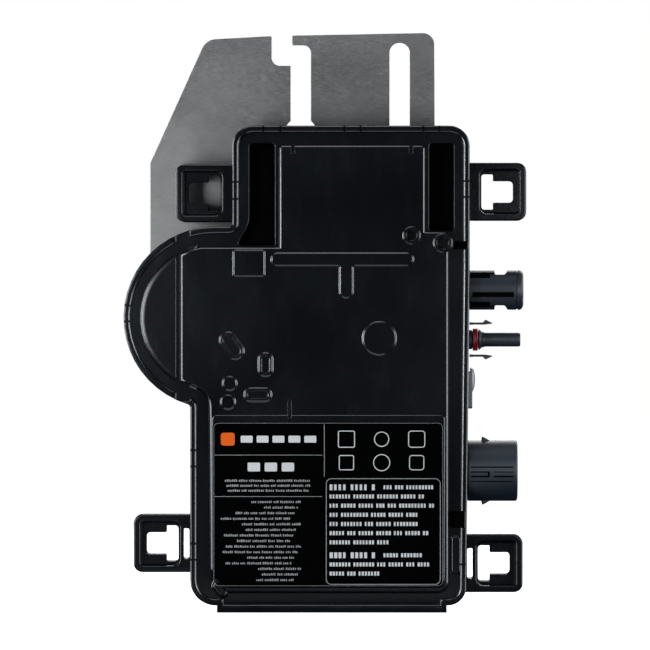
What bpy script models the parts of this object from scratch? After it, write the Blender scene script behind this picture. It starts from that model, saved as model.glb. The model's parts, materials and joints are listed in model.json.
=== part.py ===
"""Micro inverter for one solar module, with its mounting bracket and its plugs.

It stands upright on the flat foot of its case. X runs to the connectors, Z runs up and the
front cover faces -Y. Every length below is in millimetres and every mesh is in metres. A depth
is measured backwards from the highest face of the front cover.
"""
import math

import bmesh
import bpy
from mathutils import Matrix, Vector

MM = 0.001
GAP = 0.3
OVERCUT = 1.0

# The case and its cover, seen from the front.
BODY_TOP = 211.6
BODY_RIGHT = 62.9
LOWER_RIGHT = 61.4
TAPER_START = 150.0
BLOCK_LEFT = -40.3
LOWER_LEFT = -58.6
SHOULDER_Z = 167.2
BULGE_X = -48.1
BULGE_Z = 128.2
BULGE_RADIUS = 39.5
SKIRT_Z = 3.1
FOOT_LEFT = -47.0
FOOT_RIGHT = 52.9
TOP_RADIUS = 9.0
SKIRT_RADII = (11.2, 8.2)

# Depths, front to back.
FLANGE_FRONT = 2.6
BEAD_FRONT = 1.4
COVER_BACK = 5.2
CASE_FRONT = COVER_BACK + GAP
CASE_BACK = 30.2
BACK_WALL = 2.5
CASE_WALL = 4.2
PANEL_WALL = 2.5
BOARD_FRONT = 19.6
BOARD_BACK = 21.2
PLATE_FRONT = CASE_BACK + GAP
PLATE_BACK = PLATE_FRONT + 1.6
HEAD_FRONT = PLATE_BACK + GAP
HEAD_BACK = HEAD_FRONT + 1.8
DEPTH_MIDDLE = HEAD_BACK / 2
AXIS_DEPTH = 16.0

# Cover relief.
BEAD_WIDTH = 2.2
PANEL_INSET = 7.6
RELIEF = 0.8
CHANNEL_FLOOR = 11.0
CHANNEL_WALL = 1.8
CHANNEL_TOP = 203.2
CHANNELS = ((-32.4, -22.9, 158.4), (45.3, 54.9, 163.6))
LABEL = (-48.8, 51.3, 10.9, 82.7)
LABEL_THICKNESS = 0.3
TOP_PANEL = (-20.3, 43.2, 157.5)
TAB = (-39.8, -26.1, 146.0, 154.5)
TEE = ((-23.3, 156.2, 2.7), (-23.3, 150.7, 2.7), (6.4, 150.7, 1.5), (6.4, 136.8, 0),
       (12.1, 136.8, 0), (12.1, 150.7, 1.5), (38.3, 150.7, 2.7), (38.3, 156.2, 2.7))
RING_CENTRE = (23.6, 0, 119.2)
RING_RADII = (7.7, 6.9)
PAD_DEPTH = 0.5
# Slot shaped pads: X, Z, height, width and tilt in degrees. Round pads: X, Z and radius.
SLOT_PADS = ((-40.5, 116.0, 12.6, 7.0, 35), (-25.8, 107.8, 10.2, 6.1, 0), (-29.2, 94.7, 5.7, 11.7, 0))
ROUND_PADS = ((-41.4, 99.6, 3.0), (-42.1, 91.5, 3.2))

# Loops on the case's sides: direction, root X, middle Z, and whether a second slot is open.
EARS = ((-1, BLOCK_LEFT, 182.3, False), (1, BODY_RIGHT, 183.0, False),
        (-1, LOWER_LEFT, 30.0, True), (1, LOWER_RIGHT, 21.3, True))
EAR_REACH = 24.7
EAR_HEIGHT = 25.2
EAR_DEPTHS = (8.0, 24.0)
EAR_RADIUS = 3.6
EAR_ROOT = 2.0
EAR_WINDOW = ((5.1, -7.6), (10.4, -7.6), (10.4, -4.6), (19.1, -4.6),
              (19.1, 4.6), (10.4, 4.6), (10.4, 7.6), (5.1, 7.6))
EAR_SLOT = (0.4, 3.0)
EAR_SLOT_DEPTHS = (5.0, 22.4)
EAR_SLOT_HALF = 6.5

# Seal groove in the case: how far in its two sides lie, and its depth. The gasket's sides follow.
GROOVE_INSETS = (1.2, 3.2)
GROOVE_DEPTH = 1.6
GASKET_INSETS = (1.5, 2.9)
GASKET_HEIGHT = 1.3

# Mounting bracket.
SLOT_WIDTH = 8.8
HOOK_X = -10.6
HOOK_MOUTH = (-23.3, -14.4)
HOOK_MOUTH_Z = 238.4
HOOK_TOP_Z = 247.3
KEYHOLE_Z = 208.5
KEYHOLE_RADIUS = 7.2
SLOT_X = 32.65
SLOT_TOP_Z = 248.4
SLOT_BOTTOM_Z = 205.0
BRACKET_SCREWS = ((-30.0, 193.0), (42.0, 193.0), (-30.0, 106.0), (42.0, 106.0))
BRACKET_SCREW_TIP = 24.0
BRACKET_SCREW_RADII = (3.8, 1.9)
BRACKET_POST_FRONT = 22.5
BRACKET_POST_RADIUS = 4.5
BRACKET_PILOT_END = 22.0
BRACKET_PILOT_RADIUS = 2.3
PLATE_HOLE_RADIUS = 2.4

# Connectors on the right-hand side.
DC_SOCKET_Z = 140.2
DC_PLUG_Z = 118.6
AC_Z = 61.5
LENS_Z = 101.1
# Holes in the side wall: name, Z and radius.
WALL_HOLES = (("dc_socket", DC_SOCKET_Z, 6.0), ("dc_plug", DC_PLUG_Z, 4.5), ("ac", AC_Z, 9.0),
              ("lens", LENS_Z, 3.0))
PLATE_SEAT = ((61.7, BODY_RIGHT + 2), (8.2, 23.8), (88.3, 105.0))
SOCKET_END = 86.4
PLUG_END = 85.1
AC_END = 83.8
WALL_FACE = BODY_RIGHT + GAP
LATCH_ROOT_X = 63.9
LATCH_OFFSET = 7.0
LATCH_WIDTH = 6.0
LATCH_PROFILE = ((-0.4, -0.6), (-0.4, 0.6), (5.4, 0.5), (6.2, 1.5), (8.7, 0.5), (8.7, 0.0), (5.4, -0.5))
NIB_BASE = 12.4
NIB_PROFILE = ((68.0, 0), (68.6, 2.2), (70.6, 1.6), (71.8, 0))
NIB_HALF_WIDTH = 2.0
AC_PIN_CIRCLE = 3.6
AC_PIN_RADIUS = 1.0
AC_BORE_RADIUS = 1.4

# Electronics.
BOARD_INSET = 7.8
BOARD_SCREWS = ((-46.0, 24.0), (44.0, 24.0), (-72.0, 128.2), (44.0, 150.0))
BOARD_SCREW_TIP = 25.5
BOARD_SCREW_RADII = (2.6, 1.2)
BOARD_POST_RADIUS = 3.2
BOARD_PILOT_END = 26.5
BOARD_HOLE_RADIUS = 1.6
SCREW_HEAD_HEIGHT = 1.8
PART_FACE = BOARD_FRONT - GAP
# Square parts: name, X, depths, Z and finish.
SQUARE_PARTS = (
    ("heat_spreader", (-22, 34), (24.9, 27.4), (30, 150), "aluminium"),
    ("thermal_pad", (-16, 28), (24.1, 24.6), (40, 140), "pad"),
    ("mosfet_1", (0, 10), (BOARD_BACK + GAP, 23.8), (48, 63), "chip"),
    ("mosfet_2", (0, 10), (BOARD_BACK + GAP, 23.8), (72, 87), "chip"),
    ("mosfet_3", (0, 10), (BOARD_BACK + GAP, 23.8), (96, 111), "chip"),
    ("mosfet_4", (0, 10), (BOARD_BACK + GAP, 23.8), (120, 135), "chip"),
    ("film_capacitor", (18, 44), (7.5, PART_FACE), (62, 74), "yellow"),
    ("relay", (18, 44), (8.5, PART_FACE), (40, 56), "chip"),
    ("control_chip", (-46, -34), (PART_FACE - 1.6, PART_FACE), (50, 62), "chip"),
    ("status_led", (51.5, 54.5), (14.5, PART_FACE), (LENS_Z - 1.5, LENS_Z + 1.5), "led"),
)
CAPACITOR_XS = (-10.0, 4.0, 18.0, 32.0)
CAPACITOR_PROFILE = ((160, 0), (160, 5.6), (160.8, 6.2), (184, 6.2), (184.6, 5.5), (184.6, 0))
CAPACITOR_DEPTH = PART_FACE - 6.2
FUSE_Z = 32.0
FUSE_RADIUS = 2.5
VARISTOR_RADIUS = 6.0
AXES = {"X": Matrix.Rotation(math.radians(90), 3, "Y"),
        "Y": Matrix.Rotation(math.radians(-90), 3, "X"),
        "Z": Matrix.Identity(3)}


def depth_to_y(depth):
    """Y of a depth behind the cover's face."""
    return depth - DEPTH_MIDDLE


def material(name, colour, roughness, metallic=0.0):
    """A Principled material."""
    made = bpy.data.materials.new(name)
    made.use_nodes = True
    shader = made.node_tree.nodes["Principled BSDF"]
    shader.inputs["Base Color"].default_value = (*colour, 1.0)
    shader.inputs["Roughness"].default_value = roughness
    shader.inputs["Metallic"].default_value = metallic
    return made


def add_object(name, mesh_maker, origin, finish=None):
    """Make an object at origin from the bmesh in mesh_maker, drawn in millimetres round it."""
    mesh_maker.transform(Matrix.Scale(MM, 4))
    bmesh.ops.recalc_face_normals(mesh_maker, faces=mesh_maker.faces)
    mesh = bpy.data.meshes.new(name)
    mesh_maker.to_mesh(mesh)
    mesh_maker.free()
    made = bpy.data.objects.new(name, mesh)
    made.location = Vector(origin) * MM
    bpy.context.scene.collection.objects.link(made)
    if finish:
        mesh.materials.append(finish)
    return made


def smooth(made):
    """Shade a round piece smooth between its sharp edges."""
    made.data.shade_smooth()
    made.data.set_sharp_from_angle(angle=math.radians(35))
    return made


def shape(target, tool, operation):
    """Cut target with tool, or join tool to it, and hide tool."""
    change = target.modifiers.new(tool.name, "BOOLEAN")
    change.operation = operation
    change.solver = "EXACT"
    change.object = tool
    tool.hide_render = True
    tool.display_type = "WIRE"


def cut(target, *tools):
    """Take each tool away from target."""
    for tool in tools:
        shape(target, tool, "DIFFERENCE")


def join(target, *tools):
    """Add each tool to target."""
    for tool in tools:
        shape(target, tool, "UNION")


def arc(centre_x, centre_z, radius, start, end, steps):
    """Corners on an arc, from start to end degrees, with no rounding of their own."""
    corners = []
    for step in range(steps + 1):
        angle = math.radians(start + (end - start) * step / steps)
        corners.append((centre_x + radius * math.cos(angle), centre_z + radius * math.sin(angle), 0))
    return corners


def rounded(corners, step_degrees=18):
    """Outline of (x, z) points from (x, z, radius) corners, each rounded by a tangent arc."""
    outline = []
    count = len(corners)
    for index, (x, z, radius) in enumerate(corners):
        here = Vector((x, z))
        if radius <= 0:
            outline.append((x, z))
            continue
        before = (Vector(corners[index - 1][:2]) - here).normalized()
        after = (Vector(corners[(index + 1) % count][:2]) - here).normalized()
        half = before.angle(after) / 2
        centre = here + (before + after).normalized() * radius / math.sin(half)
        first = here + before * radius / math.tan(half) - centre
        last = here + after * radius / math.tan(half) - centre
        turn = math.pi - 2 * half
        steps = max(1, round(math.degrees(turn) / step_degrees))
        for step in range(steps + 1):
            share = step / steps
            swing = (first * math.sin(turn * (1 - share)) + last * math.sin(turn * share))
            outline.append(tuple(centre + swing / math.sin(turn)))
    return outline


def rectangle(left, right, low, high, radius=0.0):
    """Outline of a rectangle with round corners."""
    return rounded([(left, low, radius), (right, low, radius), (right, high, radius), (left, high, radius)])


def body_outline(inset, foot=True):
    """Outline of the case, moved inwards by inset, with or without its foot."""
    radius = BULGE_RADIUS - inset
    waist_x = LOWER_LEFT + inset
    waist = math.degrees(math.acos((waist_x - BULGE_X) / radius))
    shoulder = math.degrees(math.asin((SHOULDER_Z - inset - BULGE_Z) / radius))
    corners = [(BLOCK_LEFT + inset, BODY_TOP - inset, max(TOP_RADIUS - inset, 1.2)),
               (BODY_RIGHT - inset, BODY_TOP - inset, max(TOP_RADIUS - inset, 1.2)),
               (BODY_RIGHT - inset, TAPER_START, 0),
               (LOWER_RIGHT - inset, SKIRT_Z + inset, max(SKIRT_RADII[1] - inset, 2))]
    if foot:
        corners += [(FOOT_RIGHT - inset, SKIRT_Z + inset, 0), (FOOT_RIGHT - inset, inset, 0),
                    (FOOT_LEFT + inset, inset, 0), (FOOT_LEFT + inset, SKIRT_Z + inset, 0)]
    corners.append((waist_x, SKIRT_Z + inset, max(SKIRT_RADII[0] - inset, 2)))
    corners += arc(BULGE_X, BULGE_Z, radius, 360 - waist, 180 - shoulder, 20)
    corners.append((BLOCK_LEFT + inset, SHOULDER_Z - inset, 0))
    return rounded(corners)


def prism(name, outline, front, back, finish=None, origin=(0, 0, 0)):
    """Solid of an outline drawn in X and Z, between two depths."""
    made = bmesh.new()
    rows = []
    for depth in (front, back):
        y = depth_to_y(depth)
        rows.append([made.verts.new(Vector((x, y, z)) - Vector(origin)) for x, z in outline])
    made.faces.new(rows[0])
    made.faces.new(rows[1])
    for index in range(len(outline)):
        after = (index + 1) % len(outline)
        made.faces.new((rows[0][index], rows[0][after], rows[1][after], rows[1][index]))
    return add_object(name, made, origin, finish)


def ring(name, outer, inner, front, back, finish=None):
    """Closed ring between two outlines with the same number of points."""
    made = bmesh.new()
    loops = []
    for outline, depth in ((outer, front), (outer, back), (inner, back), (inner, front)):
        loops.append([made.verts.new((x, depth_to_y(depth), z)) for x, z in outline])
    for near, far in zip(loops, loops[1:] + loops[:1]):
        for index in range(len(outer)):
            after = (index + 1) % len(outer)
            made.faces.new((near[index], near[after], far[after], far[index]))
    return add_object(name, made, (0, 0, 0), finish)


def box(name, x_range, depths, z_range, finish=None):
    """Block between two X, two depths and two Z, with its origin in its middle."""
    low = Vector((x_range[0], depth_to_y(depths[0]), z_range[0]))
    high = Vector((x_range[1], depth_to_y(depths[1]), z_range[1]))
    made = bmesh.new()
    bmesh.ops.create_cube(made, size=1)
    bmesh.ops.scale(made, verts=made.verts, vec=high - low)
    return add_object(name, made, (low + high) / 2, finish)


def turned(name, profile, centre, axis, finish=None, sides=24, closed=False):
    """Solid turned round an axis through centre, from (distance along it, radius) points.

    A closed profile makes a ring. An open one starts and ends on the axis.
    """
    made = bmesh.new()
    turn = AXES[axis]
    rows = []
    for along, radius in profile:
        if radius == 0:
            rows.append([made.verts.new(turn @ Vector((0, 0, along)))] * sides)
            continue
        row = []
        for side in range(sides):
            angle = 2 * math.pi * side / sides
            spot = Vector((radius * math.cos(angle), radius * math.sin(angle), along))
            row.append(made.verts.new(turn @ spot))
        rows.append(row)
    pairs = list(zip(rows, rows[1:]))
    if closed:
        pairs.append((rows[-1], rows[0]))
    for near, far in pairs:
        for side in range(sides):
            after = (side + 1) % sides
            loop = [near[side], near[after], far[after], far[side]]
            made.faces.new(list(dict.fromkeys(loop)))
    return smooth(add_object(name, made, centre, finish))


def rod(name, centre, axis, start, end, radius, finish=None, sides=24):
    """Round bar along an axis."""
    profile = [(start, 0), (start, radius), (end, radius), (end, 0)]
    return turned(name, profile, centre, axis, finish, sides)


def post(name, x, z, front, back, radius):
    """Round bar along Y between two depths."""
    return rod(name, (x, 0, z), "Y", depth_to_y(front), depth_to_y(back), radius, sides=16)


def tube(name, centre, axis, start, end, outer, inner, finish=None, sides=24):
    """Pipe along an axis."""
    profile = [(start, outer), (end, outer), (end, inner), (start, inner)]
    return turned(name, profile, centre, axis, finish, sides, closed=True)


def on_side(z):
    """Middle of a connector on the right-hand side, at X 0 so that distances are X."""
    return (0, depth_to_y(AXIS_DEPTH), z)


def build_ear(name, side, root, middle):
    """One loop on the side of the case, with its stepped opening."""
    half = EAR_HEIGHT / 2
    tip = root + side * EAR_REACH
    inner = root - side * EAR_ROOT
    corners = [(inner, middle - half, 0), (tip, middle - half, EAR_RADIUS),
               (tip, middle + half, EAR_RADIUS), (inner, middle + half, 0)]
    loop = prism(name, rounded(corners), *EAR_DEPTHS)
    outline = [(root + side * reach, middle + rise) for reach, rise in EAR_WINDOW]
    cut(loop, prism(name + "_window", outline, EAR_DEPTHS[0] - OVERCUT, EAR_DEPTHS[1] + OVERCUT))
    return loop


def build_case(finish):
    """Deep shell with its loops, its foot, its wall openings and its inner posts."""
    case = prism("rear_case", body_outline(0), CASE_FRONT, CASE_BACK, finish)
    floor = CASE_BACK - BACK_WALL
    cut(case, prism("case_hollow", body_outline(CASE_WALL, foot=False), CASE_FRONT - OVERCUT, floor))
    slots = []
    for number, (side, root, middle, second_slot) in enumerate(EARS, 1):
        join(case, build_ear(f"ear_{number}", side, root, middle))
        if second_slot:
            reach = sorted((root + side * EAR_SLOT[0], root + side * EAR_SLOT[1]))
            slots.append(box(f"ear_slot_{number}", reach, EAR_SLOT_DEPTHS,
                             (middle - EAR_SLOT_HALF, middle + EAR_SLOT_HALF)))
    groove = [body_outline(inset) for inset in GROOVE_INSETS]
    cut(case, ring("seal_groove", *groove, CASE_FRONT - OVERCUT, CASE_FRONT + GROOVE_DEPTH))
    for number, (x, z) in enumerate(BRACKET_SCREWS, 1):
        join(case, post(f"bracket_post_{number}", x, z, BRACKET_POST_FRONT, floor + OVERCUT,
                        BRACKET_POST_RADIUS))
        cut(case, post(f"bracket_pilot_{number}", x, z, BRACKET_PILOT_END, CASE_BACK + OVERCUT,
                       BRACKET_PILOT_RADIUS))
    for number, (x, z) in enumerate(BOARD_SCREWS, 1):
        join(case, post(f"board_post_{number}", x, z, BOARD_BACK + GAP, floor + OVERCUT, BOARD_POST_RADIUS))
        cut(case, post(f"board_pilot_{number}", x, z, BOARD_BACK, BOARD_PILOT_END, BOARD_HOLE_RADIUS))
    inside = BODY_RIGHT - CASE_WALL - 2
    for label, z, radius in WALL_HOLES:
        cut(case, rod(label + "_hole", on_side(z), "X", inside, BODY_RIGHT + 2, radius))
    cut(case, box("plate_seat", *PLATE_SEAT))
    cut(case, *slots)
    return case


def build_cover(finish):
    """Front cover: flange, edge bead, raised panel, deep channels and shallow relief."""
    cover = prism("front_cover", body_outline(0), BEAD_FRONT, COVER_BACK, finish)
    cut(cover, prism("flange_level", body_outline(BEAD_WIDTH), -OVERCUT, FLANGE_FRONT))
    join(cover, prism("raised_panel", body_outline(PANEL_INSET, foot=False), 0, FLANGE_FRONT + 0.5))
    cut(cover, prism("panel_hollow", body_outline(PANEL_INSET + PANEL_WALL, foot=False), PANEL_WALL,
                     COVER_BACK + OVERCUT))
    for number, (left, right, low) in enumerate(CHANNELS, 1):
        edge = CHANNEL_WALL
        join(cover, box(f"channel_shell_{number}", (left - edge, right + edge),
                        (1.6, CHANNEL_FLOOR + edge), (low - edge, CHANNEL_TOP + edge)))
        cut(cover, box(f"channel_{number}", (left, right), (-OVERCUT, CHANNEL_FLOOR), (low, CHANNEL_TOP)))
    left, right, low = TOP_PANEL
    seat = [edge + side * GAP for edge, side in zip(LABEL, (-1, 1, -1, 1))]
    for name, outline in (("top_panel", rectangle(left, right, low, CHANNEL_TOP, 1.5)),
                          ("tee_groove", rounded(TEE)), ("tab_seat", rectangle(*TAB, 1.0)),
                          ("label_seat", rectangle(*seat, 2.0))):
        cut(cover, prism(name, outline, -OVERCUT, RELIEF))
    cut(cover, tube("ring_groove", RING_CENTRE, "Y", depth_to_y(-OVERCUT), depth_to_y(RELIEF), *RING_RADII,
                    sides=32))
    for number, (x, z, height, width, tilt) in enumerate(SLOT_PADS, 1):
        radius = min(height, width) / 2 - 0.2
        slot = prism(f"slot_{number}", rectangle(-width / 2, width / 2, -height / 2, height / 2, radius),
                     -OVERCUT, PAD_DEPTH)
        slot.rotation_euler = (0, math.radians(-tilt), 0)
        slot.location = (x * MM, 0, z * MM)
        cut(cover, slot)
    for number, (x, z, radius) in enumerate(ROUND_PADS, 1):
        cut(cover, rod(f"dial_{number}", (x, 0, z), "Y", depth_to_y(-OVERCUT), depth_to_y(PAD_DEPTH), radius))
    return cover


def build_bracket(finish):
    """Flat steel plate with a hook slot, a long slot and four screw holes."""
    corners = [(-76.5, 97.0, 6), (-76.5, 195.6, 2), (-52.0, 249.8, 7), (HOOK_MOUTH[0], 251.4, 0.8),
               (HOOK_MOUTH[0], HOOK_MOUTH_Z, 3.6), (HOOK_X - SLOT_WIDTH / 2, HOOK_MOUTH_Z, 0)]
    reach = math.sqrt(KEYHOLE_RADIUS ** 2 - (SLOT_WIDTH / 2) ** 2)
    mouth = math.degrees(math.asin(reach / KEYHOLE_RADIUS))
    corners += arc(HOOK_X, KEYHOLE_Z, KEYHOLE_RADIUS, 180 - mouth, 360 + mouth, 14)
    corners += [(HOOK_X + SLOT_WIDTH / 2, HOOK_TOP_Z, 3.4), (HOOK_MOUTH[1], HOOK_TOP_Z, 0.6),
                (HOOK_MOUTH[1], 251.6, 0.8), (47.8, 252.8, 5), (48.6, 97.0, 6)]
    plate = prism("mounting_bracket", rounded(corners), PLATE_FRONT, PLATE_BACK, finish)
    half = SLOT_WIDTH / 2
    slot = rectangle(SLOT_X - half, SLOT_X + half, SLOT_BOTTOM_Z, SLOT_TOP_Z, half - 0.1)
    cut(plate, prism("long_slot", slot, PLATE_FRONT - OVERCUT, PLATE_BACK + OVERCUT))
    for number, (x, z) in enumerate(BRACKET_SCREWS, 1):
        cut(plate, post(f"plate_hole_{number}", x, z, PLATE_FRONT - OVERCUT, PLATE_BACK + OVERCUT,
                        PLATE_HOLE_RADIUS))
    return plate


def build_screw(name, x, z, depths, radii, finish):
    """Pan head screw along Y, from the depths of its crown, its seat and its tip."""
    crown, seat, tip = depths
    head_radius, shank_radius = radii
    bevel = crown + (seat - crown) * 0.35
    profile = [(tip, 0), (tip, shank_radius), (seat, shank_radius), (seat, head_radius),
               (bevel, head_radius), (crown, head_radius * 0.7), (crown, 0)]
    points = [(depth_to_y(depth), radius) for depth, radius in profile]
    turned(name, points, (x, 0, z), "Y", finish, sides=12)


def build_fasteners(finish):
    """Four screws hold the bracket from behind and four hold the board from the front."""
    for number, (x, z) in enumerate(BRACKET_SCREWS, 1):
        build_screw(f"bracket_screw_{number}", x, z, (HEAD_BACK, HEAD_FRONT, BRACKET_SCREW_TIP),
                    BRACKET_SCREW_RADII, finish)
    for number, (x, z) in enumerate(BOARD_SCREWS, 1):
        depths = (PART_FACE - SCREW_HEAD_HEIGHT, PART_FACE, BOARD_SCREW_TIP)
        build_screw(f"board_screw_{number}", x, z, depths, BOARD_SCREW_RADII, finish)


def build_electronics(finishes):
    """Board, heat path and the parts soldered to the board."""
    board = prism("main_board", body_outline(BOARD_INSET, foot=False), BOARD_FRONT, BOARD_BACK,
                  finishes["board"])
    for number, (x, z) in enumerate(BOARD_SCREWS, 1):
        cut(board, rod(f"board_hole_{number}", (x, 0, z), "Y", depth_to_y(BOARD_FRONT - OVERCUT),
                       depth_to_y(BOARD_BACK + OVERCUT), BOARD_HOLE_RADIUS, sides=12))
    for name, x_range, depths, z_range, finish in SQUARE_PARTS:
        box(name, x_range, depths, z_range, finishes[finish])
    for number, x in enumerate(CAPACITOR_XS, 1):
        turned(f"capacitor_{number}", CAPACITOR_PROFILE, (x, depth_to_y(CAPACITOR_DEPTH), 0), "Z",
               finishes["capacitor"], sides=16)
    rod("fuse", (0, depth_to_y(PART_FACE - FUSE_RADIUS - 0.1), FUSE_Z), "X", 20, 40, FUSE_RADIUS,
        finishes["ceramic"], sides=12)
    rod("varistor", (0, depth_to_y(PART_FACE - VARISTOR_RADIUS - 0.2), FUSE_Z), "X", 4, 8, VARISTOR_RADIUS,
        finishes["blue"], sides=16)
    build_transformer(finishes, 6.0, 112.0)
    build_drum_choke("choke", -56.0, 128.2, 12.5, finishes)
    build_drum_choke("filter", -14.0, 40.0, 9.5, finishes)


def build_transformer(finishes, x, z):
    """Two E shaped ferrite halves round one winding, whose axis runs up."""
    depths = (8.9, 16.9)
    leg = 5.0
    window = 7.0
    half = 18.0
    depth = 13.0
    for name, side in (("transformer_core_lower", -1), ("transformer_core_upper", 1)):
        near = z + side * GAP / 2
        bottom = near + side * depth
        far = near + side * half
        outline = [(x - half, far), (x - half, near), (x - leg - window, near), (x - leg - window, bottom),
                   (x - leg, bottom), (x - leg, near), (x + leg, near), (x + leg, bottom),
                   (x + leg + window, bottom), (x + leg + window, near), (x + half, near), (x + half, far)]
        prism(name, outline, *depths, finishes["ferrite"])
    middle = depth_to_y(sum(depths) / 2)
    winding = bmesh.new()
    outer = rectangle(-leg - window + GAP, leg + window - GAP, -6.1, 6.1, 2)
    inner = rectangle(-leg - GAP, leg + GAP, -4.3, 4.3, 0.2)
    loops = []
    for outline, height in ((outer, -12), (outer, 12), (inner, 12), (inner, -12)):
        loops.append([winding.verts.new((across, back, height)) for across, back in outline])
    for near, far in zip(loops, loops[1:] + loops[:1]):
        for index in range(len(outer)):
            after = (index + 1) % len(outer)
            winding.faces.new((near[index], near[after], far[after], far[index]))
    add_object("transformer_winding", winding, (x, middle, z), finishes["copper"])


def build_drum_choke(name, x, z, radius, finishes):
    """Spool shaped ferrite core, upright on the board, with its winding round the neck."""
    face = depth_to_y(PART_FACE)
    top = depth_to_y(7.0)
    neck = radius / 2
    flange = 2.0
    profile = [(top, 0), (top, radius), (top + flange, radius), (top + flange, neck),
               (face - flange, neck), (face - flange, radius), (face, radius), (face, 0)]
    turned(name + "_core", profile, (x, 0, z), "Y", finishes["ferrite"], sides=20)
    tube(name + "_winding", (x, 0, z), "Y", top + flange + GAP, face - flange - GAP, radius - 0.7, neck + GAP,
         finishes["copper"], sides=20)


def build_status_window(finishes):
    """Plate and lens on the side wall."""
    plate = box("side_plate", (62.0, 64.1), (8.5, 23.5), (88.6, 104.7), finishes["grey"])
    cut(plate, rod("lens_clearance", on_side(LENS_Z), "X", 61, 66, 5.7))
    profile = [(57.0, 0), (57.0, 2.6), (63.2, 2.6), (63.2, 5.4), (64.2, 4.6), (65.0, 3.0),
               (65.4, 1.2), (65.4, 0)]
    turned("status_lens", profile, on_side(LENS_Z), "X", finishes["lens"], sides=20)


def build_dc_socket(finishes):
    """Panel socket with locking windows, and the contact in its middle."""
    end = SOCKET_END
    profile = [(56.2, 5.7), (WALL_FACE, 5.7), (WALL_FACE, 8.6), (83.2, 8.6), (83.2, 8.9), (end - 0.8, 8.9),
               (end, 8.3), (end, 6.6), (66.0, 6.6), (66.0, 3.4), (56.2, 3.4)]
    housing = turned("dc_socket_housing", profile, on_side(DC_SOCKET_Z), "X", finishes["connector"],
                     sides=32, closed=True)
    for name, side in (("upper_window", 1), ("lower_window", -1)):
        levels = sorted((DC_SOCKET_Z + side * 6.2, DC_SOCKET_Z + side * 10.0))
        cut(housing, box(name, (74.2, 77.8), (AXIS_DEPTH - 4, AXIS_DEPTH + 4), levels))
    profile = [(55.5, 0), (55.5, 2.2), (76.0, 2.2), (76.0, 1.4), (66.5, 1.4), (66.5, 0)]
    turned("dc_socket_contact", profile, on_side(DC_SOCKET_Z), "X", finishes["tin"], sides=12)


def build_dc_plug(finishes):
    """Insulated pin with its seal, between two springy latches."""
    spot = on_side(DC_PLUG_Z)
    collar = [(56.2, 4.2), (64.0, 4.2), (64.0, 3.6), (66.9, 3.6), (66.9, 4.2), (67.4, 4.2), (67.4, 3.4),
              (56.2, 3.4)]
    turned("dc_plug_housing", collar, spot, "X", finishes["connector"], closed=True)
    seal = [(64.3, 3.9), (64.3, 4.6), (64.7, 4.95), (65.2, 4.6), (65.7, 4.95), (66.2, 4.95), (66.6, 4.6),
            (66.6, 3.9)]
    turned("dc_plug_seal", seal, spot, "X", finishes["seal"], closed=True)
    tube_profile = [(56.2, 3.1), (PLUG_END - 0.5, 3.1), (PLUG_END, 2.7), (PLUG_END, 1.9), (56.2, 1.9)]
    turned("dc_plug_tube", tube_profile, spot, "X", finishes["connector"], sides=20, closed=True)
    rod("dc_plug_pin", spot, "X", 55.5, 83.0, 1.5, finishes["tin"], sides=12)
    for name, side in (("latch_upper", 1), ("latch_lower", -1)):
        root = DC_PLUG_Z + side * LATCH_OFFSET
        points = [(LATCH_ROOT_X + x, root + side * z) for x, z in LATCH_PROFILE]
        prism(name, points, AXIS_DEPTH - LATCH_WIDTH / 2, AXIS_DEPTH + LATCH_WIDTH / 2,
              finishes["connector"], origin=(LATCH_ROOT_X, depth_to_y(AXIS_DEPTH), root))


def build_ac_connector(finishes):
    """Round AC connector: shell with locking nibs, insert, four pins and its seal."""
    spot = on_side(AC_Z)
    profile = [(56.2, 8.7), (65.1, 8.7), (65.1, 12.0), (WALL_FACE, 12.0), (WALL_FACE, 13.2),
               (AC_END - 0.8, 13.2), (AC_END, 12.4), (AC_END, 11.2), (67.6, 11.2), (67.6, 7.0), (56.2, 7.0)]
    shell = turned("ac_connector_shell", profile, spot, "X", finishes["connector"], sides=32, closed=True)
    for name, side in (("nib_upper", 1), ("nib_lower", -1)):
        outline = [(x, AC_Z + side * (NIB_BASE + rise)) for x, rise in NIB_PROFILE]
        join(shell, prism(name, outline, AXIS_DEPTH - NIB_HALF_WIDTH, AXIS_DEPTH + NIB_HALF_WIDTH))
    turned("ac_seal", [(WALL_FACE, 9.2), (64.7, 9.2), (64.7, 11.6), (WALL_FACE, 11.6)], spot, "X",
           finishes["rubber"], closed=True)
    insert = rod("ac_connector_insert", spot, "X", 57.0, 74.0, 6.6, finishes["insert"])
    for number in range(4):
        angle = math.radians(45 + 90 * number)
        place = (0, spot[1] + AC_PIN_CIRCLE * math.cos(angle), AC_Z + AC_PIN_CIRCLE * math.sin(angle))
        cut(insert, rod(f"ac_bore_{number + 1}", place, "X", 56, 75, AC_BORE_RADIUS, sides=12))
        rod(f"ac_pin_{number + 1}", place, "X", 55.6, 79.0, AC_PIN_RADIUS, finishes["tin"], sides=10)


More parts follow.
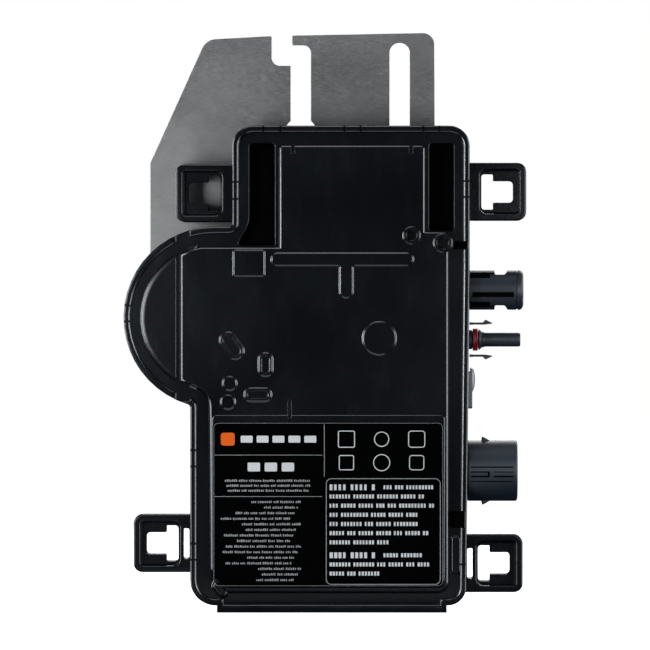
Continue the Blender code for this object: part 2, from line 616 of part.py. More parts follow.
def build_inverter():
    """Make every piece."""
    black = material("case_black", (0.012, 0.013, 0.015), 0.38)
    steel = material("bracket_steel", (0.33, 0.33, 0.33), 0.42, 1.0)
    zinc = material("screw_zinc", (0.45, 0.45, 0.46), 0.35, 1.0)
    finishes = {
        "connector": material("connector_black", (0.016, 0.02, 0.026), 0.45),
        "seal": material("seal_red", (0.55, 0.02, 0.02), 0.45),
        "rubber": material("rubber_black", (0.015, 0.015, 0.015), 0.7),
        "insert": material("insert_grey", (0.08, 0.08, 0.085), 0.5),
        "tin": material("contact_tin", (0.6, 0.6, 0.58), 0.3, 1.0),
        "grey": material("plate_grey", (0.1, 0.1, 0.105), 0.5),
        "lens": material("lens_grey", (0.5, 0.5, 0.5), 0.25),
        "led": material("led_body", (0.6, 0.55, 0.3), 0.4),
        "board": material("board_green", (0.01, 0.09, 0.04), 0.5),
        "aluminium": material("spreader_aluminium", (0.6, 0.6, 0.61), 0.4, 1.0),
        "pad": material("pad_grey", (0.35, 0.38, 0.42), 0.8),
        "chip": material("chip_black", (0.02, 0.02, 0.02), 0.5),
        "ferrite": material("ferrite_grey", (0.05, 0.05, 0.05), 0.6),
        "copper": material("winding_copper", (0.6, 0.25, 0.1), 0.35, 1.0),
        "capacitor": material("capacitor_sleeve", (0.03, 0.035, 0.06), 0.35),
        "yellow": material("film_yellow", (0.6, 0.42, 0.05), 0.45),
        "ceramic": material("fuse_ceramic", (0.65, 0.63, 0.58), 0.4),
        "blue": material("varistor_blue", (0.02, 0.08, 0.35), 0.4),
    }
    build_case(black)
    build_cover(black)
    gasket = [body_outline(inset) for inset in GASKET_INSETS]
    ring("cover_gasket", *gasket, CASE_FRONT, CASE_FRONT + GASKET_HEIGHT, finishes["rubber"])
    build_bracket(steel)
    prism("rating_label", rectangle(*LABEL, 1.8), RELIEF - GAP - LABEL_THICKNESS, RELIEF - GAP,
          material("label_black", (0.01, 0.01, 0.01), 0.55))
    build_fasteners(zinc)
    build_electronics(finishes)
    build_status_window(finishes)
    build_dc_socket(finishes)
    build_dc_plug(finishes)
    build_ac_connector(finishes)


for leftover in list(bpy.data.objects):
    bpy.data.objects.remove(leftover)
build_inverter()
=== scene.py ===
"""Looks of the micro inverter: finer shells, printed label, materials, light and camera.

Lengths are in millimetres until a mesh is made. A depth is measured backwards from the highest
face of the front cover.
"""

import json
import math
import random

import bmesh
import bpy
from mathutils import Matrix, Vector


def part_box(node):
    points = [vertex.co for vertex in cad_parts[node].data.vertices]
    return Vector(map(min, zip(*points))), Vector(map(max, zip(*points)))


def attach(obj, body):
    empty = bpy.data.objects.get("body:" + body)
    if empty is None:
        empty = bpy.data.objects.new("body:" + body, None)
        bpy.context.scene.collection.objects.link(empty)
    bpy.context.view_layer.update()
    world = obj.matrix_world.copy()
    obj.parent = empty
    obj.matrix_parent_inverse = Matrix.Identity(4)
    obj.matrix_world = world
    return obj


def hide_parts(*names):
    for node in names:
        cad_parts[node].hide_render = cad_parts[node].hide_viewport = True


MM = 0.001
AXES = {"X": Matrix.Rotation(math.radians(90), 3, "Y"), "Y": Matrix.Rotation(math.radians(-90), 3, "X")}
ARC_STEP = 7.5
SMOOTH_ANGLE = math.radians(42)
STEEPEST_SIDE = math.radians(68)
FIRST_BEND = math.radians(14)
EDGE_SLOPES = (0.3, 0.96)

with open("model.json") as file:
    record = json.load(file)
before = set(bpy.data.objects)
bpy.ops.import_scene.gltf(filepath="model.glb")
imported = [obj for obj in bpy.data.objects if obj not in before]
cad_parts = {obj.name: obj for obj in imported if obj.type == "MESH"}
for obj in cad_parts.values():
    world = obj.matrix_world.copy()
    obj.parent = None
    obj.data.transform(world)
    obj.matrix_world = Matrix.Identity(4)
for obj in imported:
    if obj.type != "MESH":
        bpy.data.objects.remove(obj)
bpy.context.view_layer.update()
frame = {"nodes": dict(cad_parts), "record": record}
SLOTS = {row["node"]: row["material_slot"] for row in frame["record"]["subparts"]}


def span(node, axis):
    """Lowest and highest place of a CAD node along an axis, in millimetres."""
    low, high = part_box(node)
    return low[axis] / MM, high[axis] / MM


def middle_of(node, axis):
    """Middle of a CAD node along an axis."""
    return sum(span(node, axis)) / 2


def centre_of(node):
    """Centre of a CAD node, in millimetres."""
    low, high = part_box(node)
    return (low + high) / 2 / MM


FACE_Y = span("front_cover", 1)[0]
CASE_FRONT = span("rear_case", 1)[0] - FACE_Y
COVER_BACK = CASE_FRONT - 0.3
CASE_BACK = span("rear_case", 1)[1] - FACE_Y
BULGE_LEFT = span("front_cover", 0)[0]
BODY_RIGHT = span("front_cover", 0)[1]
BODY_TOP = span("front_cover", 2)[1]
AXIS_DEPTH = middle_of("dc_plug_tube", 1) - FACE_Y
DC_SOCKET_Z = middle_of("dc_socket_housing", 2)
DC_PLUG_Z = middle_of("dc_plug_tube", 2)
AC_Z = middle_of("ac_seal", 2)
LENS_Z = middle_of("status_lens", 2)

CASE_WALL = 4.2
BACK_WALL = 2.5

# Outline of the case.
LOWER_RIGHT = BODY_RIGHT - 1.5
TAPER_START = 150.0
BLOCK_LEFT = -40.3
LOWER_LEFT = -58.6
BULGE_X = -48.1
BULGE_Z = 128.2
BULGE_RADIUS = BULGE_X - BULGE_LEFT
SHOULDER_Z = BULGE_Z + BULGE_RADIUS
WAIST_RADIUS = 1.5
SHOULDER_RADIUS = 1.6
TOP_RADIUS = 9.0
SKIRT_Z = 3.1
SKIRT_RADII = (11.2, 8.2)
FOOT_LEFT = -47.0
FOOT_RIGHT = 52.9

# Levels of the front cover.
BEAD = 1.4
BEAD_INNER = 3.1
FLANGE = 2.9
D_FACE = 1.6
PANEL = 0.7
RAISED = 0.1
CHANNEL_FLOOR = 11.0
PANEL_INSET = 9.4
STEP_X = -61.8
PANEL_BOTTOM = 9.8
PANEL_LEFT = -48.9
PANEL_RIGHT = 52.6
PANEL_SHELF_Z = 157.7
TOP_PANEL = (-18.9, 42.5, 202.0)
RIGHT_CHANNEL_Z = 164.4
CHANNEL_TOP = 203.4

# Places on the cover, as X and Z, and for the first two the degrees they are turned.
TILTED_PAD = (-40.5, 116.0, -35)
CORNER_BOSS = (-45.6, 10.6, -38)
DIAL = (-42.1, 91.5)

# Loops on the sides of the case: name, side, root, middle and whether it has a second slot.
EARS = (("ear_upper_left", -1, BLOCK_LEFT, 182.3, False), ("ear_upper_right", 1, BODY_RIGHT, 183.0, False),
        ("ear_lower_left", -1, LOWER_LEFT, 30.0, True), ("ear_lower_right", 1, LOWER_RIGHT, 21.3, True))
EAR_REACH = 24.7
EAR_HALF = 12.6
EAR_DEPTHS = (8.0, 24.0)

# Shallow ribs low on the back.
BACK_RIBS = 7
RIB_START = -38.0
RIB_PITCH = 13.5

# Printed marks on the label.
LABEL_SEED = 7
INK_DEPTH = span("rating_label", 1)[0] - FACE_Y - 0.004
INK_TOP = INK_DEPTH - 0.03

FLOOR_RADIUS = 8000.0

# Where the camera stands, in metres.
CAMERA_DISTANCE = 4.0
CAMERA_HEIGHT = 0.12496


def depth_to_y(depth):
    """Y in millimetres of a depth behind the cover's face."""
    return FACE_Y + depth


def on_side(z):
    """Middle of a connector on the right-hand side, at X 0 so that distances are X."""
    return (0, depth_to_y(AXIS_DEPTH), z)


# ---------------- outlines

def arc(centre_x, centre_z, radius, start, end):
    """Points on an arc, from start to end degrees."""
    steps = max(1, round(abs(end - start) / ARC_STEP))
    points = []
    for step in range(steps + 1):
        angle = math.radians(start + (end - start) * step / steps)
        points.append((centre_x + radius * math.cos(angle), centre_z + radius * math.sin(angle)))
    return points


def corner_arc(x, z, out_x, out_z, radius, inset, start):
    """Quarter turn at a convex corner, clockwise from start degrees, moved inwards by inset."""
    left = max(radius - inset, 0.4)
    return arc(x - out_x * (inset + left), z - out_z * (inset + left), left, start, start - 90)


def waist_fillet():
    """Middle of the hollow corner under the bulge, and its direction to the bulge's middle."""
    x = LOWER_LEFT - WAIST_RADIUS
    reach = BULGE_RADIUS + WAIST_RADIUS
    z = BULGE_Z - math.sqrt(reach ** 2 - (BULGE_X - x) ** 2)
    return x, z, math.degrees(math.atan2(BULGE_Z - z, BULGE_X - x))


def body_outline(inset, foot=True):
    """Outline of the case moved inwards by inset, clockwise from its top left corner."""
    fade = min(max((inset - 2.3) / 3.5, 0), 1) if foot else 1
    foot_z = inset + SKIRT_Z * fade
    skirt = SKIRT_Z + inset
    points = corner_arc(BLOCK_LEFT, BODY_TOP, -1, 1, TOP_RADIUS, inset, 180)
    points += corner_arc(BODY_RIGHT, BODY_TOP, 1, 1, TOP_RADIUS, inset, 90)
    points.append((BODY_RIGHT - inset, TAPER_START))
    points += corner_arc(LOWER_RIGHT, SKIRT_Z, 1, -1, SKIRT_RADII[1], inset, 0)
    foot_inset = min(inset, 5.0)
    points += [(FOOT_RIGHT - foot_inset, skirt), (FOOT_RIGHT - foot_inset, foot_z),
               (FOOT_LEFT + foot_inset, foot_z), (FOOT_LEFT + foot_inset, skirt)]
    points += corner_arc(LOWER_LEFT, SKIRT_Z, -1, -1, SKIRT_RADII[0], inset, -90)
    x, z, turn = waist_fillet()
    points += arc(x, z, WAIST_RADIUS + inset, 0, turn)
    points += arc(BULGE_X, BULGE_Z, BULGE_RADIUS - inset, turn + 180, 90)[1:]
    points += arc(BLOCK_LEFT - SHOULDER_RADIUS, SHOULDER_Z + SHOULDER_RADIUS, SHOULDER_RADIUS + inset,
                  -90, 0)
    return points


def footless_outline(inset):
    """Outline of the case without its foot."""
    return body_outline(inset, foot=False)


def turns_left(before, here, after):
    """True where a path turns left at a point."""
    first = Vector(here) - Vector(before)
    second = Vector(after) - Vector(here)
    return first.x * second.y - first.y * second.x > 0


def area_sign(points):
    """1 for an anticlockwise outline, -1 for a clockwise one."""
    total = 0
    for (x0, z0), (x1, z1) in zip(points, points[1:] + points[:1]):
        total += x0 * z1 - x1 * z0
    return 1 if total > 0 else -1


def outline(corners, grow=0.0):
    """Points of an outline given as (x, z, radius) corners, moved outwards by grow."""
    flat = [Vector(corner[:2]) for corner in corners]
    sign = area_sign([tuple(point) for point in flat])
    count = len(flat)
    points = []
    for index, here in enumerate(flat):
        before, after = flat[index - 1], flat[(index + 1) % count]
        into, out = (here - before).normalized(), (after - here).normalized()
        normal_in = Vector((into.y, -into.x)) * sign
        normal_out = Vector((out.y, -out.x)) * sign
        spot = here + (normal_in + normal_out) * grow / (1 + normal_in.dot(normal_out))
        convex = turns_left(before, here, after) == (sign > 0)
        radius = corners[index][2]
        if radius == 0:
            points.append(tuple(spot))
            continue
        radius = max(radius + (grow if convex else -grow), 0.12)
        turn = into.angle(out)
        back = radius * math.tan(turn / 2)
        centre = spot - into * back + (-normal_in if convex else normal_in) * radius
        start = math.degrees(math.atan2(*reversed((spot - into * back - centre).to_tuple())))
        swing = math.degrees(turn) * (1 if (sign > 0) == convex else -1)
        points += arc(centre.x, centre.y, radius, start, start + swing)
    return points


def sharp(points):
    """Points as corners without a radius."""
    return [(x, z, 0) for x, z in points]


def rectangle(left, right, low, high, radius):
    """Corners of a rectangle."""
    return [(left, low, radius), (right, low, radius), (right, high, radius), (left, high, radius)]


def circle(x, z, radius):
    """Corners that round off to a full circle."""
    return rectangle(x - radius, x + radius, z - radius, z + radius, radius - 0.001)


def turn_corners(corners, x, z, degrees):
    """Corners turned clockwise round the origin, then moved to (x, z)."""
    swing = Matrix.Rotation(math.radians(-degrees), 2)
    turned_corners = []
    for corner in corners:
        spot = swing @ Vector(corner[:2])
        turned_corners.append((spot.x + x, spot.y + z, corner[2]))
    return turned_corners


# ---------------- meshes

def add_object(name, data):
    """Object that puts a mesh, a light or a camera in the scene."""
    made = bpy.data.objects.new(name, data)
    bpy.context.scene.collection.objects.link(made)
    return made


def add_mesh(name, maker):
    """Object from a bmesh drawn in millimetres."""
    maker.transform(Matrix.Scale(MM, 4))
    bmesh.ops.recalc_face_normals(maker, faces=maker.faces)
    mesh = bpy.data.meshes.new(name)
    maker.to_mesh(mesh)
    maker.free()
    return add_object(name, mesh)


def loft_into(maker, rows, closed=False):
    """Solid through rows of points, with flat ends, or joined end to start when closed."""
    loops = [[maker.verts.new(point) for point in row] for row in rows]
    pairs = list(zip(loops, loops[1:]))
    if closed:
        pairs.append((loops[-1], loops[0]))
    else:
        maker.faces.new(loops[0])
        maker.faces.new(loops[-1])
    for near, far in pairs:
        for index in range(len(near)):
            after = (index + 1) % len(near)
            maker.faces.new((near[index], near[after], far[after], far[index]))


def stack_into(maker, make_outline, levels, closed=False):
    """Solid whose outline changes with depth: levels are (amount for make_outline, depth)."""
    rows = []
    for amount, depth in levels:
        rows.append([(x, depth_to_y(depth), z) for x, z in make_outline(amount)])
    loft_into(maker, rows, closed)


def layered(name, make_outline, levels):
    """Object whose outline changes with depth."""
    maker = bmesh.new()
    stack_into(maker, make_outline, levels)
    return add_mesh(name, maker)


def grown(corners):
    """Function that gives the outline of some corners, moved outwards by an amount."""
    return lambda amount: outline(corners, amount)


def shaped(name, corners, levels):
    """Object from corners that grow or shrink with depth: levels are (growth, depth)."""
    return layered(name, grown(corners), levels)


def softened(front, back, bevel, depth=0.2):
    """Levels of a plate between two depths with both its edges bevelled."""
    return [(-bevel, front), (0, front + depth), (0, back - depth), (-bevel, back)]


def raised(name, corners, foot, top, bend=0.7, depth_below=0.4):
    """Island standing on a face at depth foot: its side bends out of the face and into the top."""
    rise = foot - top
    steepest = math.acos(max(1 - rise / (2 * bend), math.cos(STEEPEST_SIDE)))
    straight = max(rise - 2 * bend * (1 - math.cos(steepest)), 0) / math.tan(steepest)
    reach = bend * math.sin(steepest) + straight / 2
    spread = (bend * (1 - math.cos(FIRST_BEND)) + 0.01) / math.tan(FIRST_BEND)
    start = reach - bend * math.sin(FIRST_BEND) + spread
    levels = [(start, foot + depth_below), (start, foot + 0.01)]
    for share in (0, 0.25, 0.5, 0.75, 1):
        angle = FIRST_BEND + (steepest - FIRST_BEND) * share
        levels.append((reach - bend * math.sin(angle), foot - bend * (1 - math.cos(angle))))
    for share in (1, 0.75, 0.5, 0.25, 0):
        angle = steepest * share
        level = (-reach + bend * math.sin(angle), top + bend * (1 - math.cos(angle)))
        if level[0] < levels[-1][0] - 0.01:
            levels.append(level)
    return shaped(name, corners, levels)


def quarter(run, rise, steps=5):
    """Points on a quarter ellipse, from its steep end to its flat end: (distance in, height)."""
    points = []
    for step in range(steps + 1):
        angle = math.radians(90 * (1 - step / steps))
        points.append((run * (1 - math.sin(angle)), rise * (1 - math.cos(angle))))
    return points


def terrace(name, corners, foot, top, run):
    """Island whose whole side is one broad round, with its flat top ending at the corners."""
    levels = [(run, foot + 0.4)]
    levels += [(run - inward, top + height) for inward, height in quarter(run, foot - top, 10)]
    return shaped(name, corners, levels)


def sunken(name, corners, face, floor, slope=0.3, lip=0.3):
    """Cutter that sinks a pocket from depth face to depth floor and rounds its upper edge."""
    deep = floor - face
    rise = min(1.4 * lip, deep * 0.6)
    levels = [(lip, face - 2.0), (lip, face)]
    levels += [(inward, face + height) for inward, height in reversed(quarter(lip, rise)[:-1])]
    levels += [(-slope, floor - 0.15 * deep), (-slope - 0.1 * deep, floor)]
    return shaped(name, corners, levels)


def block(name, x_range, depths, z_range):
    """Plain cutter between two X, two depths and two Z."""
    return shaped(name, rectangle(*x_range, *z_range, 0), [(0, depth) for depth in depths])


def turned(name, profile, centre, axis, sides=64, closed=False):
    """Solid turned round an axis through centre, from (distance along it, radius) points."""
    maker = bmesh.new()
    turn = AXES[axis]
    rows = []
    for along, radius in profile:
        row = []
        for side in range(sides):
            angle = 2 * math.pi * side / sides
            spot = turn @ Vector((radius * math.cos(angle), radius * math.sin(angle), along))
            row.append(spot + Vector(centre))
        rows.append(row)
    loft_into(maker, rows, closed)
    return add_mesh(name, maker)


def bake(made):
    """Turn an object's modifiers into its mesh."""
    graph = bpy.context.evaluated_depsgraph_get()
    mesh = bpy.data.meshes.new_from_object(made.evaluated_get(graph))
    made.modifiers.clear()
    made.data = mesh


def combine(target, operation, *tools):
    """Join tools to target, or cut them from it, then drop the tools."""
    for tool in tools:
        change = target.modifiers.new(tool.name, "BOOLEAN")
        change.operation = operation
        change.solver = "EXACT"
        change.object = tool
    bake(target)
    for tool in tools:
        bpy.data.objects.remove(tool)


def join(target, *tools):
    """Join tools to target."""
    combine(target, "UNION", *tools)


def cut(target, *tools):
    """Cut tools from target."""
    combine(target, "DIFFERENCE", *tools)


def clean(made):
    """Merge stray points and shade smooth between sharp edges, with flat faces kept flat."""
    maker = bmesh.new()
    maker.from_mesh(made.data)
    bmesh.ops.remove_doubles(maker, verts=maker.verts, dist=2e-6)
    bmesh.ops.dissolve_degenerate(maker, edges=maker.edges, dist=1e-6)
    maker.to_mesh(made.data)
    maker.free()
    made.data.shade_smooth()
    made.data.set_sharp_from_angle(angle=SMOOTH_ANGLE)
    weighted = made.modifiers.new("weighted", "WEIGHTED_NORMAL")
    weighted.keep_sharp = True
    weighted.weight = 80


def place(made, node, finish, body="inverter"):
    """Clean a piece and let it stand for a CAD node, give it its finish and ride on its body."""
    clean(made)
    made.data.materials.clear()
    made.data.materials.append(finish)
    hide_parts(node)
    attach(made, body)


# ---------------- materials

def polish_edges(made, finish):
    """Give the edges round the front and the back a glossier finish than the flat faces."""
    made.data.materials.append(finish)
    for face in made.data.polygons:
        if EDGE_SLOPES[0] < abs(face.normal.y) < EDGE_SLOPES[1]:
            face.material_index = 1


def paint(made, finish, is_inside):
    """Give the faces whose middle is inside, told by X, depth and Z, a second material: here it paints shade
    into recesses.
    """
    made.data.materials.append(finish)
    for face in made.data.polygons:
        x, y, z = face.center / MM
        if is_inside(x, y - FACE_Y, z):
            face.material_index = len(made.data.materials) - 1


class Nodes:
    """Short way to build a material's node tree."""

    def __init__(self, name):
        self.material = bpy.data.materials.new(name)
        self.material.use_nodes = True
        self.tree = self.material.node_tree
        self.shader = self.tree.nodes["Principled BSDF"]
        self.place = self.add("TexCoord", {}).outputs["Object"]

    def fill(self, node, values):
        """Set a node's inputs, or link those given as sockets."""
        for name, value in values.items():
            if isinstance(value, bpy.types.NodeSocket):
                self.tree.links.new(value, node.inputs[name])
            else:
                node.inputs[name].default_value = value

    def add(self, kind, values):
        """New node with its inputs filled."""
        node = self.tree.nodes.new("ShaderNode" + kind)
        self.fill(node, values)
        return node

    def scaled(self, scale):
        """Coordinates stretched by a scale for each axis."""
        return self.add("Mapping", {"Scale": scale, "Vector": self.place}).outputs["Vector"]

    def noise(self, scale, detail=3.0, roughness=0.5, vector=None):
        """Noise value, with scale in features per metre."""
        values = {"Scale": scale, "Detail": detail, "Roughness": roughness, "Vector": vector or self.place}
        return self.add("TexNoise", values).outputs["Fac"]

    def remap(self, value, low, high, new_low, new_high):
        """Value clamped and mapped to a new range."""
        ranges = {"From Min": low, "From Max": high, "To Min": new_low, "To Max": new_high}
        return self.add("MapRange", {"Value": value, **ranges}).outputs["Result"]

    def math(self, operation, first, second):
        """Sum or product of two values or sockets."""
        node = self.add("Math", {0: first, 1: second})
        node.operation = operation
        return node.outputs[0]

    def blend(self, share, dark, light):
        """Colour between two colours."""
        node = self.tree.nodes.new("ShaderNodeMix")
        node.data_type = "RGBA"
        self.fill(node, {"Factor": share, "A": (*dark, 1.0), "B": (*light, 1.0)})
        return node.outputs["Result"]

    def bump(self, height, strength, distance):
        """Bump from a height between 0 and 1."""
        bump = self.add("Bump", {"Strength": strength, "Distance": distance, "Height": height})
        self.fill(self.shader, {"Normal": bump.outputs["Normal"]})

    def worn_edges(self):
        """Rises to 1 along convex edges."""
        return self.remap(self.add("NewGeometry", {}).outputs["Pointiness"], 0.54, 0.62, 0.0, 1.0)


def moulded_plastic(name, dark, light, roughness, grain=0.12, specular=0.5):
    """Moulded plastic with a fine grain, cloudy gloss and slightly polished edges."""
    nodes = Nodes(name)
    cloud = nodes.noise(24.0, 2.0)
    fine = nodes.noise(2600.0, 2.0)
    scuff = nodes.noise(160.0, 6.0, 0.75, nodes.scaled((1.0, 1.0, 0.35)))
    share = nodes.math("MULTIPLY", nodes.remap(cloud, 0.3, 0.7, 0.1, 0.75),
                       nodes.remap(scuff, 0.35, 0.7, 0.8, 1.0))
    worn = nodes.math("MULTIPLY", nodes.worn_edges(), 0.25)
    gloss = nodes.math("ADD", nodes.remap(cloud, 0.3, 0.7, roughness - 0.03, roughness + 0.03),
                       nodes.remap(scuff, 0.5, 0.75, 0.0, 0.05))
    nodes.fill(nodes.shader, {"Base Color": nodes.blend(nodes.math("ADD", share, worn), dark, light),
                              "Roughness": gloss, "Specular IOR Level": specular})
    nodes.bump(nodes.math("ADD", nodes.math("MULTIPLY", fine, 0.7), nodes.math("MULTIPLY", scuff, 0.3)),
               grain, 0.00012)
    return nodes.material


def rolled_steel(name, dark, light, roughness, stretch=(60.0, 60.0, 900.0)):
    """Steel sheet with a rolling grain, cloudy tone and small handling marks."""
    nodes = Nodes(name)
    grain = nodes.noise(6.0, 5.0, 0.7, nodes.scaled(stretch))
    cloud = nodes.noise(22.0, 4.0, 0.6)
    marks = nodes.noise(420.0, 5.0, 0.8)
    share = nodes.math("ADD", nodes.remap(grain, 0.3, 0.7, 0.0, 0.5),
                       nodes.remap(cloud, 0.35, 0.65, 0.0, 0.5))
    gloss = nodes.math("ADD", nodes.remap(grain, 0.3, 0.7, roughness - 0.06, roughness + 0.06),
                       nodes.remap(marks, 0.55, 0.75, 0.0, 0.12))
    nodes.fill(nodes.shader, {"Base Color": nodes.blend(share, dark, light), "Metallic": 1.0,
                              "Roughness": gloss})
    nodes.bump(nodes.math("ADD", grain, nodes.math("MULTIPLY", marks, 0.5)), 0.12, 0.00008)
    return nodes.material


def plain_metal(name, dark, light, roughness):
    """Plated or turned metal with fine marks."""
    return rolled_steel(name, dark, light, roughness, (500.0, 500.0, 500.0))


def printed_board(name):
    """Green board with faint copper tracks under the mask."""
    nodes = Nodes(name)
    brick = nodes.add("TexBrick", {"Scale": 90.0, "Mortar Size": 0.03, "Mortar": (0.03, 0.17, 0.07, 1),
                                   "Color1": (0.012, 0.10, 0.045, 1), "Color2": (0.010, 0.075, 0.035, 1),
                                   "Vector": nodes.place})
    nodes.fill(nodes.shader, {"Base Color": brick.outputs["Color"],
                              "Roughness": nodes.remap(nodes.noise(300.0), 0.3, 0.7, 0.3, 0.45)})
    nodes.bump(brick.outputs["Fac"], 0.3, 0.00005)
    return nodes.material


def wound_wire(name, dark, light):
    """Enamelled wire, turn beside turn."""
    nodes = Nodes(name)
    wave = nodes.add("TexWave", {"Scale": 340.0, "Distortion": 0.4, "Vector": nodes.place})
    wave.bands_direction = "Z"
    nodes.fill(nodes.shader, {"Base Color": nodes.blend(wave.outputs["Fac"], dark, light), "Metallic": 0.9,
                              "Roughness": nodes.remap(nodes.noise(500.0), 0.3, 0.7, 0.22, 0.4)})
    nodes.bump(wave.outputs["Fac"], 0.7, 0.0003)
    return nodes.material


# ---------------- front cover

def build_cover_base():
    """Plate with its edge bead and its flat flange."""
    levels = [(0.3, COVER_BACK), (0.0, COVER_BACK - 0.3)]
    levels += [(inward, BEAD + height) for inward, height in quarter(0.75, 0.8)]
    inner_side = reversed(quarter(1.35, FLANGE - BEAD))
    levels += [(BEAD_INNER - inward, BEAD + height) for inward, height in inner_side]
    return layered("cover_shell", body_outline, levels)


def panel_corners():
    """Main panel, clockwise from its lower left corner."""
    x, z, turn = waist_fillet()
    radius = BULGE_RADIUS - PANEL_INSET
    step_angle = math.degrees(math.acos((STEP_X - BULGE_X) / radius))
    shelf_angle = 180 - math.degrees(math.asin((PANEL_SHELF_Z - BULGE_Z) / radius))
    corners = [(-42.2, PANEL_BOTTOM, 1.5), (PANEL_LEFT + 0.2, 18.8, 2.0)]
    corners += sharp(arc(x, z, WAIST_RADIUS + PANEL_INSET, 0, turn))
    corners += sharp(arc(BULGE_X, BULGE_Z, radius, turn + 180, 360 - step_angle)[1:])
    corners += sharp(arc(BULGE_X, BULGE_Z, radius, step_angle, shelf_angle))
    left, right, top = TOP_PANEL
    corners += [(left, PANEL_SHELF_Z, 0.8), (left, top, 0.7), (right, top, 0.7),
                (right, RIGHT_CHANNEL_Z, 0.9), (PANEL_RIGHT, RIGHT_CHANNEL_Z, 1.2),
                (PANEL_RIGHT, TAPER_START, 0), (PANEL_RIGHT, PANEL_BOTTOM, 4.0)]
    return corners


def bulge_face_corners():
    """Lower face of the bulge, which runs on under the main panel."""
    radius = BULGE_RADIUS - PANEL_INSET
    reach = math.degrees(math.acos((STEP_X + 4 - BULGE_X) / radius))
    return sharp(arc(BULGE_X, BULGE_Z, radius, 360 - reach, reach))


def edge_notches():
    """Small cuts across the edge bead, most of them in pairs, as one cutter."""
    inset = 1.3
    places = [(x, BODY_TOP - inset, 0) for x in (-26.8, -19.4, 8.4, 15.4, 42.7, 49.7)]
    places += [(BLOCK_LEFT + inset, z, 90) for z in (187.1, 179.7)]
    places += [(BODY_RIGHT - inset, z, 90) for z in (187.5, 180.6)]
    places += [(LOWER_RIGHT - inset + 0.1, 21.0, 90)]
    places += [(LOWER_LEFT + inset, z, 90) for z in (70.6, 63.5, 30.0, 23.0)]
    for degrees in (107.5, 118.0, 172.0, 182.5, 234.0, 242.0):
        angle = math.radians(degrees)
        radius = BULGE_RADIUS - inset
        places.append((BULGE_X + radius * math.cos(angle), BULGE_Z + radius * math.sin(angle), 90 - degrees))
    maker = bmesh.new()
    for x, z, degrees in places:
        corners = turn_corners(rectangle(-0.42, 0.42, -1.9, 1.9, 0), x, z, degrees)
        stack_into(maker, grown(corners), [(0, -1), (0, 2.3)])
    return add_mesh("edge_notches", maker)


def pad_list():
    """Raised pads on the main panel: name and corners."""
    tee = [(-23.3, 156.2, 2.68), (-23.3, 150.8, 2.68), (6.4, 150.8, 1.0), (6.4, 136.8, 2.7),
           (12.1, 136.8, 2.7), (12.1, 150.8, 1.0), (38.3, 150.8, 2.68), (38.3, 156.2, 2.68)]
    return [("tee_rib", tee),
            ("tab", rectangle(-39.8, -26.3, 146.2, PANEL_SHELF_Z - 0.3, 0.9)),
            ("pad_tilted", turn_corners(rectangle(-3.5, 3.5, -6.3, 6.3, 3.2), *TILTED_PAD)),
            ("pad_upright", rectangle(-28.85, -22.75, 102.7, 112.9, 2.9)),
            ("pad_level", rectangle(-35.0, -23.3, 91.8, 97.6, 2.7)),
            ("pad_round", circle(-41.4, 99.6, 3.0)),
            ("pad_dial", circle(*DIAL, 3.1)),
            ("pad_large", circle(23.6, 119.2, 7.2))]


def dish_list():
    """Shallow dishes inside some of the pads: name and corners."""
    return [("dish_tilted", turn_corners(rectangle(-2.2, 2.2, -5.0, 5.0, 2.1), *TILTED_PAD)),
            ("dish_upright", rectangle(-27.6, -24.0, 104.0, 111.6, 1.7)),
            ("dish_level", rectangle(-33.7, -24.6, 93.1, 96.3, 1.5))]


def add_panel(cover):
    """Bulge face, main panel and the two deep channels beside its upper part."""
    join(cover, block("channel_backing_left", (-38.6, -20.8), (4.2, 12.8), (156.8, 205.0)),
         block("channel_backing_right", (43.6, 57.2), (4.2, 12.8), (161.9, 205.0)))
    join(cover, terrace("bulge_face", bulge_face_corners(), FLANGE, D_FACE, 2.4))
    step_groove = rectangle(STEP_X - 2.7, STEP_X + 3, 92.0, 166.0, 0.1)
    cut(cover, sunken("step_groove", step_groove, D_FACE, FLANGE - 0.06, 0.1, 0.5))
    join(cover, terrace("main_panel", panel_corners(), FLANGE, PANEL, 1.4))
    left_channel = [(-32.3, CHANNEL_TOP, 1.0), (-22.4, CHANNEL_TOP, 1.0), (-22.4, 159.9, 0.7),
                    (-37.3, 159.9, 0.5), (-36.7, 161.4, 0.8), (-32.3, 169.0, 13.0)]
    right_channel = [(45.8, CHANNEL_TOP, 1.0), (55.4, CHANNEL_TOP, 1.0), (55.4, 166.4, 0.7),
                     (45.8, 166.4, 0.7)]
    for name, corners in (("channel_left", left_channel), ("channel_right", right_channel)):
        cut(cover, sunken(name, corners, FLANGE, CHANNEL_FLOOR, 0.4, 1.0))


